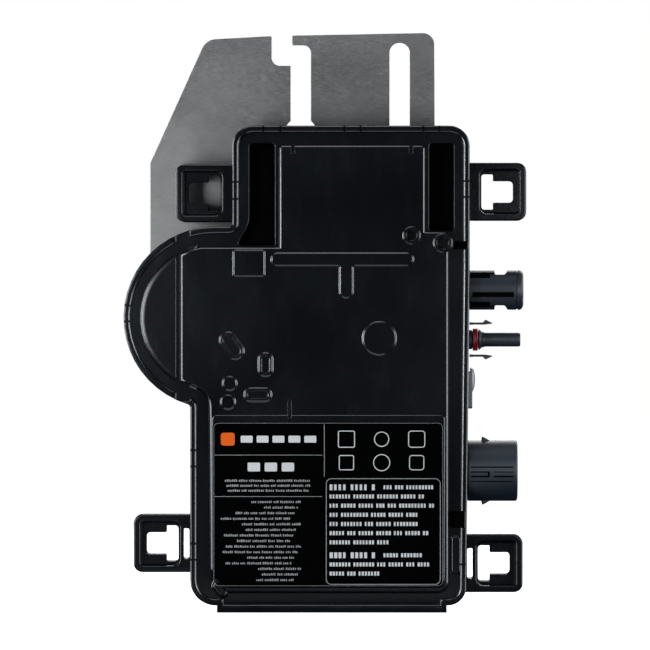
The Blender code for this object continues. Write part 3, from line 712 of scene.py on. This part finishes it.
def add_relief(cover):
    """Pads, label platform, ribs, bosses and shallow lines."""
    for name, corners in pad_list():
        join(cover, raised(name, corners, PANEL, RAISED, 0.6))
    for name, corners in dish_list():
        cut(cover, sunken(name, corners, RAISED, RAISED + 0.3, 0.3, 0.2))
    cut(cover, sunken("flange_groove", rectangle(55.7, 61.9, 157.7, 161.4, 0.5), BEAD, 4.6, 0.1, 0.25))
    cut(cover, sunken("side_pocket", rectangle(54.2, 60.6, 36.8, 44.2, 0.5), BEAD, 4.9, 0.1, 0.25))
    for number, z in enumerate((35.6, 34.4), 1):
        line = rectangle(54.8, 58.9, z - 0.25, z + 0.25, 0.1)
        cut(cover, sunken(f"side_line_{number}", line, FLANGE, 3.3, 0.02, 0.1))
    platform = [(-42.3, 11.6, 1.5), (-48.9, 18.9, 1.5), (-48.9, 85.7, 1.8), (51.9, 85.7, 1.8),
                (51.7, 11.6, 3.0)]
    join(cover, raised("label_platform", platform, PANEL, 0.45, 0.3))
    join(cover, raised("side_rib", rectangle(54.9, 58.9, 17.0, 33.0, 1.2), FLANGE, 1.7, 0.5))
    for name, x, z, radius in (("boss_small", 37.6, 163.9, 3.7), ("boss_large", 51.2, 160.6, 4.0)):
        join(cover, raised(name, circle(x, z, radius), PANEL, RAISED, 0.4, 2.6))
        cut(cover, sunken(name + "_pit", circle(x, z, radius - 1.5), RAISED, 1.9, 0.2, 0.3))
    cut(cover, ring_cutter("dial_groove", *DIAL, 2.3, 1.5, RAISED, 0.8))
    lines = [("short_line", rectangle(-16.2, -14.6, 84.6, 92.4, 0.2), 0.3)]
    for name, left in (("top_line_left", -14.8), ("top_line_right", 36.5)):
        lines.append((name, rectangle(left, left + 1.7, 199.4, 204.6, 0.2), 0.4))
    for name, corners, deep in lines:
        cut(cover, sunken(name, corners, PANEL, PANEL + deep, 0.1, 0.1))
    boss = turn_corners(rectangle(-2.3, 2.3, -4.2, 3.6, 2.2), *CORNER_BOSS)
    join(cover, raised("corner_boss", boss, FLANGE, 1.3, 0.6))
    pit = turn_corners(rectangle(-1.3, 1.3, -3.2, 2.4, 1.2), *CORNER_BOSS)
    cut(cover, sunken("corner_boss_pit", pit, 1.5, 2.6, 0.15, 0.25))


def is_cover_recess(x, depth, z):
    """True on the walls and floors of the cover's channels, grooves and pockets, which get painted shade."""
    in_channel = z > 158 and (-38 < x < -21.7 or 45.1 < x < 56.1)
    return depth > FLANGE + (0.1 if in_channel else 1.5)


def build_cover(finish, edge_finish, painted_shade_finish):
    """Front cover with its raised panel, deep channels and all its small relief."""
    cover = build_cover_base()
    add_panel(cover)
    add_relief(cover)
    cut(cover, edge_notches())
    place(cover, "front_cover", finish)
    polish_edges(cover, edge_finish)
    # Painted shade: the walls and floors of the deep channels, grooves and pockets get a darker, duller copy
    # of the black plastic.
    paint(cover, painted_shade_finish, is_cover_recess)


def ring_cutter(name, x, z, outer, inner, face, floor):
    """Cutter for a thin round groove."""
    profile = [(depth_to_y(face - 1), outer), (depth_to_y(floor), outer - 0.1),
               (depth_to_y(floor), inner + 0.1), (depth_to_y(face - 1), inner)]
    return turned(name, profile, (x, 0, z), "Y", 64, closed=True)


# ---------------- case

def build_ear(name, side, root, middle):
    """Loop on the side of the case: outer rim, sunken floor and stepped window."""
    front, back = EAR_DEPTHS

    def across(half):
        """Corners of a shape from its lower half, as distance from the root, rise and radius."""
        both = half + [(reach, -rise, radius) for reach, rise, radius in reversed(half)]
        return [(root + side * reach, middle + rise, radius) for reach, rise, radius in both]

    rim = across([(-3, -EAR_HALF, 0), (EAR_REACH, -EAR_HALF, 4.0)])
    levels = [(-0.5, back), (-0.15, back - 0.15), (0, back - 0.5), (0, front + 0.9), (-0.1, front + 0.45),
              (-0.4, front + 0.12), (-0.9, front)]
    loop = shaped(name, rim, levels)
    recess = across([(4.6, -9.7, 3.0), (21.6, -9.7, 1.4)])
    cut(loop, sunken(name + "_recess", recess, front, front + 4.2, 0.35, 0.6))
    window = across([(5.2, -7.7, 1.4), (10.4, -7.7, 0.5), (10.4, -4.7, 0.5), (19.1, -4.7, 1.8)])
    through = [(0.3, front - 1), (0.3, front + 4.2), (0.02, front + 4.6), (0.0, back + 1)]
    cut(loop, shaped(name + "_window", window, through))
    return loop


def build_case(finish, edge_finish):
    """Deep case with its draft, loops, foot and ribbed back."""
    levels = [(0.3, CASE_FRONT), (0.0, CASE_FRONT + 0.3), (0.0, 9.0), (0.15, 9.3), (1.0, 9.6), (1.2, 10.0),
              (1.9, CASE_BACK - 2.0), (2.2, CASE_BACK - 1.3), (2.9, CASE_BACK - 0.9), (3.6, CASE_BACK - 0.8)]
    case = layered("case_shell", footless_outline, levels)
    cut(case, layered("case_hollow", footless_outline,
                      [(CASE_WALL, CASE_FRONT - 1), (CASE_WALL, CASE_BACK - BACK_WALL)]))
    foot = [(FOOT_LEFT, 0, 0.3), (FOOT_RIGHT, 0, 0.3), (FOOT_RIGHT, 8, 0), (FOOT_LEFT, 8, 0)]
    join(case, shaped("foot", foot, softened(CASE_FRONT, CASE_BACK - 1.0, 0.4, 0.4)))
    front, back = EAR_DEPTHS
    for name, side, root, middle, second_slot in EARS:
        join(case, build_ear(name, side, root, middle))
        if second_slot:
            sides = sorted((root + side * 0.4, root + side * 3.0))
            slot = rectangle(*sides, middle - 6.5, middle + 6.5, 0.7)
            cut(case, shaped(name + "_slot", slot, [(0.25, front - 3), (0.25, front + 0.1),
                                                    (0, front + 0.5), (0, back + 1)]))
    for number in range(BACK_RIBS):
        x = RIB_START + RIB_PITCH * number
        rib = rectangle(x - 0.9, x + 0.9, 14.0, 88.0, 0.8)
        levels = [(0.2, CASE_BACK - 1.2), (0.0, CASE_BACK - 0.4), (-0.3, CASE_BACK - 0.02)]
        join(case, shaped(f"back_rib_{number + 1}", rib, levels))
    inside = BODY_RIGHT - 6
    for name, z, radius in (("socket_hole", DC_SOCKET_Z, 6.0), ("plug_hole", DC_PLUG_Z, 4.5),
                            ("ac_hole", AC_Z, 9.2), ("lens_hole", LENS_Z, 3.0)):
        cut(case, turned(name, [(inside, radius), (BODY_RIGHT + 2, radius)], on_side(z), "X", 48))
    cut(case, block("plate_seat", (61.7, BODY_RIGHT + 2), (8.2, 23.8), (88.3, 105.0)))
    place(case, "rear_case", finish)
    polish_edges(case, edge_finish)


# ---------------- bracket

def build_bracket(finish):
    """Steel plate with a hook slot, a long slot and softened edges."""
    front = span("mounting_bracket", 1)[0] - FACE_Y
    back = span("mounting_bracket", 1)[1] - FACE_Y
    half = 4.4
    hook_x, keyhole_z, keyhole_radius = -10.6, 208.5, 7.2
    reach = math.sqrt(keyhole_radius ** 2 - half ** 2)
    mouth = math.degrees(math.asin(reach / keyhole_radius))
    corners = [(-76.5, 97.0, 6), (-76.5, 195.6, 2), (-52.0, 249.8, 7), (-23.3, 251.4, 0.8),
               (-23.3, 238.4, 3.6), (hook_x - half, 238.4, 0.15)]
    corners += sharp(arc(hook_x, keyhole_z, keyhole_radius, 180 - mouth, 360 + mouth))
    corners += [(hook_x + half, 247.3, 3.4), (-14.4, 247.3, 0.5), (-14.4, 251.6, 0.8), (47.8, 252.8, 5),
                (48.6, 97.0, 6)]
    levels = [(-0.22, front), (-0.06, front + 0.06), (0, front + 0.22), (0, back - 0.22),
              (-0.06, back - 0.06), (-0.22, back)]
    plate = shaped("bracket_plate", corners, levels)
    slot = rectangle(28.25, 37.05, 205.0, 248.4, half - 0.01)
    lips = [(0.2, front - 1), (0.2, front), (0.05, front + 0.06), (0, front + 0.2), (0, back - 0.2),
            (0.05, back - 0.06), (0.2, back), (0.2, back + 1)]
    cut(plate, shaped("long_slot", slot, lips))
    holes = []
    for number in range(1, 5):
        centre = centre_of(f"bracket_screw_{number}")
        hole = circle(centre.x, centre.z, 2.3)
        holes.append(shaped(f"plate_hole_{number}", hole, [(0, front - 1), (0, back + 1)]))
    cut(plate, *holes)
    place(plate, "mounting_bracket", finish)


def build_screw_head(number, finish):
    """Pan head with a cross recess, seen behind the bracket."""
    node = f"bracket_screw_{number}"
    start, top = span(node, 1)
    left, right = span(node, 0)
    radius = (right - left) / 2
    x, _, z = centre_of(node)
    profile = [(start, 1.9), (top - 1.8, 1.9), (top - 1.8, radius), (top - 1.2, radius),
               (top - 0.7, radius * 0.95), (top - 0.3, radius * 0.8), (top - 0.08, radius * 0.55),
               (top, radius * 0.25)]
    screw = turned(f"screw_head_{number}", profile, (x, 0, z), "Y", 40)
    angle = 20 * number
    for tilt in (angle, angle + 90):
        arm = turn_corners(rectangle(-0.45, 0.45, -1.9, 1.9, 0.1), x, z, tilt)
        cut(screw, shaped("cross", arm, [(0, top - FACE_Y + 1), (0, top - FACE_Y - 1.0)]))
    place(screw, node, finish)


# ---------------- connectors

def is_socket_recess(x, depth, z):
    """True on the floors of the socket's latch grooves and key groove, which get painted shade."""
    rise, forward = z - DC_SOCKET_Z, AXIS_DEPTH - depth
    latch_groove = 5.1 < abs(rise) < 7.3 and x < 72 and 4.4 < forward < 6
    key_groove = -3.2 < rise < -0.8 and 6.9 < forward < 7.5
    return x > 63.2 and (latch_groove or key_groove)


def build_dc_socket(finish, painted_shade_finish):
    """Socket barrel with locking windows, side grooves and a collar at its mouth."""
    start = span("dc_socket_housing", 0)[0]
    profile = [(start, 5.7), (62.85, 5.7), (62.85, 8.3), (63.1, 8.6), (83.2, 8.6), (83.4, 8.3), (83.9, 8.3),
               (84.1, 8.6), (84.5, 8.72), (85.0, 8.6), (85.5, 8.3), (85.9, 7.85), (86.2, 7.3), (86.35, 6.8),
               (86.2, 6.6), (66.0, 6.6), (66.0, 3.4), (start, 3.4)]
    socket = turned("dc_socket_shell", profile, on_side(DC_SOCKET_Z), "X", 72, closed=True)
    for side in (1, -1):
        window = [(74.0, DC_SOCKET_Z + side * 6.7, 0.5), (78.4, DC_SOCKET_Z + side * 6.7, 1.0),
                  (79.4, DC_SOCKET_Z + side * 8.2, 0.5), (79.6, DC_SOCKET_Z + side * 11, 0),
                  (73.8, DC_SOCKET_Z + side * 11, 0), (73.8, DC_SOCKET_Z + side * 8.0, 0.3)]
        cut(socket, shaped("window", window, [(0, AXIS_DEPTH - 5.5), (0, AXIS_DEPTH + 5.5)]))
        groove = sorted((DC_SOCKET_Z + side * 5.2, DC_SOCKET_Z + side * 7.2))
        cut(socket, block("latch_groove", (62, 71.9), (AXIS_DEPTH - 10, AXIS_DEPTH - 4.6), groove),
            block("latch_groove_back", (62, 71.9), (AXIS_DEPTH + 4.6, AXIS_DEPTH + 10), groove))
    cut(socket, block("key_groove", (64.0, 82.2), (AXIS_DEPTH - 10, AXIS_DEPTH - 7.2),
                      (DC_SOCKET_Z - 3.1, DC_SOCKET_Z - 0.9)))
    rib = rectangle(64.0, 82.6, DC_SOCKET_Z - 0.5, DC_SOCKET_Z + 0.6, 0.3)
    levels = [(0, AXIS_DEPTH - 8), (0, AXIS_DEPTH - 9.2), (-0.25, AXIS_DEPTH - 9.4)]
    join(socket, shaped("key_rib", rib, levels))
    place(socket, "dc_socket_housing", finish)
    # Painted shade on the floors of the latch grooves and the key groove.
    paint(socket, painted_shade_finish, is_socket_recess)


def build_dc_plug(connector, seal_finish):
    """Insulated pin, its collar, its ribbed seal and the two latches."""
    spot = on_side(DC_PLUG_Z)
    start, end = span("dc_plug_tube", 0)
    tube = [(start, 3.1), (67.6, 3.1), (68.4, 3.4), (69.2, 3.3), (69.8, 3.05), (84.2, 3.05), (84.8, 2.9),
            (end, 2.6), (end, 1.9), (start, 1.9)]
    place(turned("dc_plug_sleeve", tube, spot, "X", 48, closed=True), "dc_plug_tube", connector)
    collar = [(start, 4.2), (63.9, 4.2), (64.1, 4.0), (64.1, 3.6), (66.8, 3.6), (66.8, 4.3), (67.2, 4.45),
              (67.7, 4.1), (68.2, 3.6), (68.2, 3.45), (start, 3.45)]
    place(turned("dc_plug_collar", collar, spot, "X", 48, closed=True), "dc_plug_housing", connector)
    profile = []
    for crest in (64.75, 65.45, 66.15):
        profile += [(crest - 0.33, 4.62), (crest - 0.2, 4.84), (crest, 4.95), (crest + 0.2, 4.84)]
    profile += [(66.55, 4.5), (66.6, 3.9), (64.3, 3.9), (64.35, 4.4)]
    place(turned("dc_seal_ring", profile, spot, "X", 64, closed=True), "dc_plug_seal", seal_finish)
    for node, side in (("latch_upper", 1), ("latch_lower", -1)):
        root_x, root_z = span(node, 0)[0] + 0.4, DC_PLUG_Z + side * 7.0
        shape = [(-0.9, -0.62, 0.1), (-0.9, 0.62, 0.1), (1.2, 0.46, 0.6), (5.0, 0.5, 0.6), (5.9, 1.65, 0.35),
                 (6.6, 1.4, 0.3), (8.8, 0.4, 0.2), (8.8, -0.1, 0.15), (5.4, -0.5, 0.8), (1.2, -0.46, 0.6)]
        corners = [(root_x + x, root_z + side * z, radius) for x, z, radius in shape]
        prong = shaped(node + "_prong", corners, softened(AXIS_DEPTH - 3.0, AXIS_DEPTH + 3.0, 0.15))
        place(prong, node, connector, "upper_latch" if side > 0 else "lower_latch")


def is_keyway(x, depth, z):
    """True on the floors of the AC connector's keyways, which get painted shade."""
    return 63 < x < 82 and abs(z - AC_Z) < 4.9 and 11.3 < AXIS_DEPTH - depth < 12.2


def build_ac_connector(finish, painted_shade_finish, insert_finish):
    """AC connector's shell with its locking nibs and keyways, and its insert."""
    start, end = span("ac_connector_shell", 0)
    spot = on_side(AC_Z)
    profile = [(start, 8.7), (62.1, 8.7), (62.1, 12.9), (62.4, 13.2), (82.9, 13.2), (83.4, 12.95),
               (83.7, 12.4), (end, 11.9), (end, 11.5), (83.5, 11.25), (82.9, 11.2), (67.6, 11.2), (67.6, 7.0),
               (start, 7.0)]
    shell = turned("ac_shell", profile, spot, "X", 96, closed=True)
    front = AXIS_DEPTH - 14
    skin = AXIS_DEPTH - 11.6
    lines = [((63.4, 81.8), (1.4, 2.0)), ((63.4, 71.6), (-0.7, -0.15)), ((73.4, 81.8), (-0.6, -0.25)),
             ((63.4, 71.6), (-2.7, -2.0)), ((73.4, 81.8), (-2.7, -2.0)), ((70.7, 71.6), (-2.3, -0.4)),
             ((63.4, 81.8), (-4.7, -4.3))]
    for number, (x_range, rises) in enumerate(lines, 1):
        cut(shell, block(f"keyway_{number}", x_range, (front, skin), (AC_Z + rises[0], AC_Z + rises[1])))
    for side in (1, -1):
        base = AC_Z + side * 12.6
        nib = [(68.0, base, 0.1), (68.4, AC_Z + side * 14.9, 0.25), (69.8, AC_Z + side * 14.3, 0.6),
               (72.6, base, 0.3)]
        join(shell, shaped("nib", nib, softened(AXIS_DEPTH - 2.2, AXIS_DEPTH + 2.2, 0.2)))
    place(shell, "ac_connector_shell", finish)
    # Painted shade on the floors of the keyways.
    paint(shell, painted_shade_finish, is_keyway)
    start, end = span("ac_connector_insert", 0)
    face = [(start, 6.6), (end - 0.4, 6.6), (end - 0.1, 6.45), (end, 6.2)]
    insert = turned("ac_insert", face, spot, "X", 48)
    bore = [(start - 1, 1.35), (end - 0.3, 1.35), (end + 0.1, 1.75), (end + 1, 1.75)]
    bores = []
    for number in range(1, 5):
        _, y, z = centre_of(f"ac_pin_{number}")
        bores.append(turned(f"bore_{number}", bore, (0, y, z), "X", 24))
    cut(insert, *bores)
    place(insert, "ac_connector_insert", insert_finish)


def build_pin(node, finish):
    """Contact pin with a round nose."""
    start, end = span(node, 0)
    radius = (span(node, 2)[1] - span(node, 2)[0]) / 2
    spot = (0, middle_of(node, 1), middle_of(node, 2))
    profile = [(start, radius), (end - radius, radius), (end - radius * 0.5, radius * 0.87),
               (end - radius * 0.13, radius * 0.5), (end, radius * 0.15)]
    place(turned(node + "_pin", profile, spot, "X", 24), node, finish)


def build_side_window(plate_finish, lens_finish):
    """Small plate on the wall and the domed lens in it."""
    x_low, x_high = span("side_plate", 0)
    depths = [value - FACE_Y for value in span("side_plate", 1)]
    z_low, z_high = span("side_plate", 2)
    plate = bmesh.new()
    rows = []
    for x, grow in ((x_low, 0), (x_high - 0.3, 0), (x_high - 0.08, -0.08), (x_high, -0.3)):
        points = outline(rectangle(*depths, z_low, z_high, 1.2), grow)
        rows.append([(x, depth_to_y(depth), z) for depth, z in points])
    loft_into(plate, rows)
    plate = add_mesh("wall_plate", plate)
    cut(plate, turned("lens_clearance", [(60, 5.65), (67, 5.65)], on_side(LENS_Z), "X", 64))
    place(plate, "side_plate", plate_finish)
    start, tip = span("status_lens", 0)
    base, rise, radius = 63.2, tip - 63.2, 5.4
    profile = [(start, 2.6), (base, 2.6), (base, radius), (base + 0.5, radius)]
    for step in range(1, 9):
        angle = math.radians(90 * step / 8.4)
        profile.append((base + 0.5 + (rise - 0.5) * math.sin(angle), radius * math.cos(angle)))
    place(turned("lens_dome", profile, on_side(LENS_Z), "X", 64), "status_lens", lens_finish)


# ---------------- label

def bar(maker, left, right, low, high, radius=0.0):
    """Flat printed mark on the label."""
    mark = grown(rectangle(left, right, low, high, radius))
    stack_into(maker, mark, [(0, INK_DEPTH), (0, INK_TOP)])


def printed_row(maker, rng, left, right, middle, height, word_lengths, capitals=False):
    """Row of small blank blocks in word-like groups, which spell nothing."""
    pitch = height * 0.78
    x = left
    while x < right - pitch:
        count = rng.choice(word_lengths)
        for _ in range(count):
            if x > right - pitch:
                break
            tall = capitals or rng.random() < 0.35
            top = middle + height / 2 if tall else middle + height * 0.28
            bar(maker, x, x + pitch * rng.uniform(0.52, 0.72), middle - height / 2, top)
            x += pitch
        x += pitch * 0.7


def frame_line(maker, left, right, low, high, radius, width):
    """Closed line round a rectangle."""
    levels = [(0, INK_DEPTH), (0, INK_TOP), (-width, INK_TOP), (-width, INK_DEPTH)]
    stack_into(maker, grown(rectangle(left, right, low, high, radius)), levels, closed=True)


def build_label(film_finish, print_finish, dim_finish, accent_finish):
    """Black film with pale blank print."""
    left, right = span("rating_label", 0)
    low, high = span("rating_label", 2)
    front = span("rating_label", 1)[0] - FACE_Y
    corners = [(left + 5.4, low, 0.8), (right, low, 1.8), (right, high, 2.2), (left, high, 2.2),
               (left, low + 5.6, 0.8)]
    levels = [(0, front + 0.3), (0, front + 0.05), (-0.05, front)]
    film = shaped("label_film", corners, levels)
    place(film, "rating_label", film_finish)
    rng = random.Random(LABEL_SEED)
    bright = bmesh.new()
    dim = bmesh.new()
    bar(dim, -0.42, -0.18, high - 23.6, high - 0.9)
    for z in (68.5, 50.5):
        bar(dim, -48.0, -1.2, z - 0.1, z + 0.1)
    for number in range(5):
        start = -36.6 + 6.9 * number
        bar(bright, start, start + 5.2, 73.9, 76.9, radius=0.5)
    for number in range(3):
        start = -33.6 + 7.4 * number
        bar(bright, start, start + 5.4, 61.4, 65.2, radius=0.5)
    for number in range(3):
        printed_row(dim, rng, -43.4 + 0.6 * number, -6.0, 57.4 - 2.15 * number, 1.0, (3, 5, 7, 9))
    widths = (22, 15, 26, 31, 26, 23, 31, 24, 33, 33, 21, 29, 19, 16, 17)
    for number, width in enumerate(widths):
        end = -10.0 - 1.4 * (number % 4)
        printed_row(dim, rng, end - width, end, 48.2 - 2.42 * number, 1.0, (3, 4, 6, 8))
    for row, z in enumerate((75.4, 65.2)):
        for column, x in enumerate((9.3, 24.6, 39.8)):
            half = 3.7 - 0.4 * ((row + column) % 2)
            radius = (0.8, half - 0.01, 1.4)[column]
            frame_line(bright, x - half, x + half, z - half, z + half, radius, 0.38)
    frame_line(dim, 0.4, 50.2, 12.2, 58.4, 2.4, 0.3)
    frame_line(dim, left + 0.5, right - 0.2, high - 71.0, high - 0.3, 2.0, 0.12)
    for top, ends in ((54.5, (48.6, 44.2, 48.2, 41.0, 41.2, 45.2, 28.4)), (25.0, (44.6, 46.0, 24.4))):
        printed_row(bright, rng, 2.0, 23.6, top, 2.5, (4, 7), capitals=True)
        for number, end in enumerate(ends):
            start = 2.0 if number else 25.4
            printed_row(bright, rng, start, end, top - 3.98 * number, 1.72, (3, 5, 7, 9), capitals=True)
    accent = bmesh.new()
    bar(accent, -45.2, -39.2, 72.6, 78.2, radius=1.2)
    for name, marks, finish in (("label_print", bright, print_finish), ("label_small_print", dim, dim_finish),
                                ("label_accent", accent, accent_finish)):
        marks = add_mesh(name, marks)
        marks.data.materials.append(finish)
        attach(marks, "inverter")


# ---------------- stage, light and camera

def build_stage():
    """Pale floor that takes shadows but doesn't show in the object's gloss."""
    nodes = Nodes("floor_pale")
    share = nodes.remap(nodes.noise(3.0, 4.0), 0.3, 0.7, 0.0, 1.0)
    nodes.fill(nodes.shader, {"Base Color": nodes.blend(share, (0.86, 0.86, 0.865), (0.9, 0.9, 0.9)),
                              "Roughness": 0.9, "Specular IOR Level": 0.1,
                              "Emission Color": (1, 1, 1, 1), "Emission Strength": 0.9})
    maker = bmesh.new()
    turns = [math.radians(angle) for angle in range(0, 360, 6)]
    maker.faces.new([maker.verts.new((FLOOR_RADIUS * math.cos(turn), FLOOR_RADIUS * math.sin(turn), 0))
                     for turn in turns])
    floor = add_mesh("floor", maker)
    floor.data.materials.append(nodes.material)
    floor.visible_glossy = False
    floor.visible_diffuse = False


def area_light(name, place_at, target, size, power, colour=(1, 1, 1)):
    """Soft box aimed at a point."""
    light = bpy.data.lights.new(name, "AREA")
    light.shape = "RECTANGLE"
    light.size, light.size_y = size
    light.energy = power
    light.color = colour
    lamp = add_object(name, light)
    lamp.location = place_at
    aim = Vector(target) - Vector(place_at)
    lamp.rotation_euler = aim.to_track_quat("-Z", "Y").to_euler()
    lamp.visible_camera = False


def build_light():
    """White surroundings that reflect dimly, a soft sun, split boxes at the sides and weak fills."""
    scene = bpy.context.scene
    scene.view_settings.view_transform = "Standard"
    world = bpy.data.worlds.new("studio")
    scene.world = world
    world.use_nodes = True
    tree = world.node_tree
    background = tree.nodes["Background"]
    path = tree.nodes.new("ShaderNodeLightPath")
    mix = tree.nodes.new("ShaderNodeMix")
    mix.data_type = "RGBA"
    mix.inputs["A"].default_value = (0.02, 0.028, 0.04, 1)
    mix.inputs["B"].default_value = (1, 1, 1, 1)
    tree.links.new(path.outputs["Is Camera Ray"], mix.inputs["Factor"])
    tree.links.new(mix.outputs["Result"], background.inputs["Color"])
    sun = bpy.data.lights.new("overhead", "SUN")
    sun.energy = 0.5
    sun.angle = math.radians(50)
    add_object("overhead", sun)
    aim = (0, 0, 0.12)
    cool = (0.9, 0.96, 1.0)
    for side, x, power in (("left", -1.1, 7.2), ("right", 1.1, 6.0)):
        area_light(side + "_box_near", (x, -0.44, 0.2), aim, (0.44, 0.9), power, cool)
        area_light(side + "_box_far", (x, 0.56, 0.2), aim, (0.68, 0.9), power * 1.5, cool)
    area_light("left_front", (-1.0, -1.25, 0.2), aim, (0.5, 0.8), 8, cool)
    area_light("right_front", (1.0, -1.25, 0.2), aim, (0.5, 0.8), 8, cool)
    area_light("left_glow", (-0.21, -0.34, 0.14), (-0.06, 0, 0.13), (0.08, 0.14), 0.8, cool)
    area_light("right_glow", (0.17, -0.34, 0.14), (0.05, 0, 0.13), (0.08, 0.14), 0.3, cool)
    area_light("floor_glow", (-0.02, -0.085, 0.004), (-0.02, -0.085, 1), (0.16, 0.1), 0.065, cool)
    area_light("top_glow", (-0.02, -0.075, 0.28), (-0.02, -0.075, -1), (0.14, 0.06), 0.06, cool)
    area_light("back_box", (0.3, 1.4, 0.9), aim, (1.0, 0.6), 10)


def build_camera():
    """Long lens square to the front face."""
    camera = bpy.data.cameras.new("camera")
    camera.lens = 510.0
    camera.sensor_width = 36.0
    camera.clip_start = 0.1
    camera.clip_end = 100.0
    eye = add_object("camera", camera)
    eye.location = (0, depth_to_y(FLANGE) * MM - CAMERA_DISTANCE, CAMERA_HEIGHT)
    eye.rotation_euler = (math.radians(90), 0, 0)
    bpy.context.scene.camera = eye


# ---------------- whole object

def finish_inner_nodes():
    """Give every CAD node that stays its own procedural material."""
    finishes = {
        "screw_zinc": plain_metal("screw_plating", (0.35, 0.35, 0.36), (0.55, 0.55, 0.56), 0.34),
        "rubber_black": moulded_plastic("seal_rubber", (0.012, 0.012, 0.012), (0.03, 0.03, 0.03), 0.7),
        "contact_tin": plain_metal("contact_plating", (0.5, 0.5, 0.48), (0.75, 0.75, 0.72), 0.28),
        "led_body": moulded_plastic("led_resin", (0.5, 0.45, 0.2), (0.75, 0.7, 0.4), 0.3),
        "board_green": printed_board("board_mask"),
        "spreader_aluminium": plain_metal("milled_aluminium", (0.5, 0.5, 0.51), (0.68, 0.68, 0.69), 0.38),
        "pad_grey": moulded_plastic("pad_silicone", (0.25, 0.28, 0.32), (0.4, 0.43, 0.47), 0.8),
        "chip_black": moulded_plastic("chip_epoxy", (0.01, 0.01, 0.01), (0.03, 0.03, 0.03), 0.5),
        "ferrite_grey": moulded_plastic("ferrite", (0.03, 0.03, 0.03), (0.07, 0.07, 0.07), 0.6, 0.3),
        "winding_copper": wound_wire("winding_enamel", (0.35, 0.12, 0.04), (0.75, 0.35, 0.14)),
        "capacitor_sleeve": moulded_plastic("sleeve_film", (0.015, 0.02, 0.04), (0.04, 0.05, 0.09), 0.32),
        "film_yellow": moulded_plastic("film_box", (0.45, 0.3, 0.03), (0.65, 0.45, 0.08), 0.4),
        "fuse_ceramic": moulded_plastic("fuse_glaze", (0.6, 0.58, 0.53), (0.75, 0.73, 0.68), 0.35),
        "varistor_blue": moulded_plastic("varistor_dip", (0.01, 0.05, 0.25), (0.03, 0.1, 0.4), 0.35),
    }
    for name, slot in SLOTS.items():
        if slot in finishes:
            materials = frame["nodes"][name].data.materials
            materials.clear()
            materials.append(finishes[slot])
    return finishes


def build_all():
    """Every visible piece."""
    build_camera()
    inner = finish_inner_nodes()
    black = moulded_plastic("case_plastic", (0.001, 0.0012, 0.0017), (0.0028, 0.0035, 0.0049), 0.24,
                            specular=0.22)
    edge = moulded_plastic("edge_plastic", (0.0005, 0.0007, 0.0011), (0.0014, 0.002, 0.0031), 0.2,
                           specular=1.0)
    # Painted shade: a darker, duller copy of the black plastic for recesses, grooves and keyways.
    recess = moulded_plastic("recess_painted_shade", (0.0003, 0.0003, 0.0004), (0.0008, 0.0008, 0.001), 0.75,
                             specular=0.02)
    connector = moulded_plastic("connector_plastic", (0.0048, 0.0078, 0.0125), (0.0096, 0.0152, 0.0242), 0.46)
    red = moulded_plastic("seal_silicone", (0.2, 0.004, 0.008), (0.3, 0.01, 0.016), 0.38, 0.08)
    steel = rolled_steel("bracket_metal", (0.155, 0.148, 0.142), (0.285, 0.276, 0.268), 0.36)
    film = moulded_plastic("label_matt", (0.0001, 0.0001, 0.0001), (0.0003, 0.0003, 0.0003), 0.7, 0.05,
                           specular=0.01)
    ink = moulded_plastic("label_ink", (0.3, 0.3, 0.3), (0.4, 0.4, 0.4), 0.6, 0.05)
    dim_ink = moulded_plastic("label_small_ink", (0.13, 0.13, 0.13), (0.19, 0.19, 0.19), 0.6, 0.05)
    accent = moulded_plastic("label_amber", (0.42, 0.055, 0.003), (0.52, 0.08, 0.005), 0.5, 0.05,
                             specular=0.1)
    insert = moulded_plastic("insert_plastic", (0.05, 0.05, 0.055), (0.1, 0.1, 0.11), 0.45)
    grey = moulded_plastic("plate_plastic", (0.07, 0.07, 0.073), (0.12, 0.12, 0.125), 0.45)
    lens = moulded_plastic("lens_plastic", (0.16, 0.16, 0.17), (0.24, 0.24, 0.25), 0.22, 0.03)
    build_cover(black, edge, recess)
    build_case(black, edge)
    build_bracket(steel)
    for number in range(1, 5):
        build_screw_head(number, inner["screw_zinc"])
    build_dc_socket(connector, recess)
    build_dc_plug(connector, red)
    build_ac_connector(connector, recess, insert)
    for node in ("ac_pin_1", "ac_pin_2", "ac_pin_3", "ac_pin_4", "dc_plug_pin"):
        build_pin(node, inner["contact_tin"])
    build_side_window(grey, lens)
    build_label(film, ink, dim_ink, accent)
    build_stage()
    build_light()


build_all()
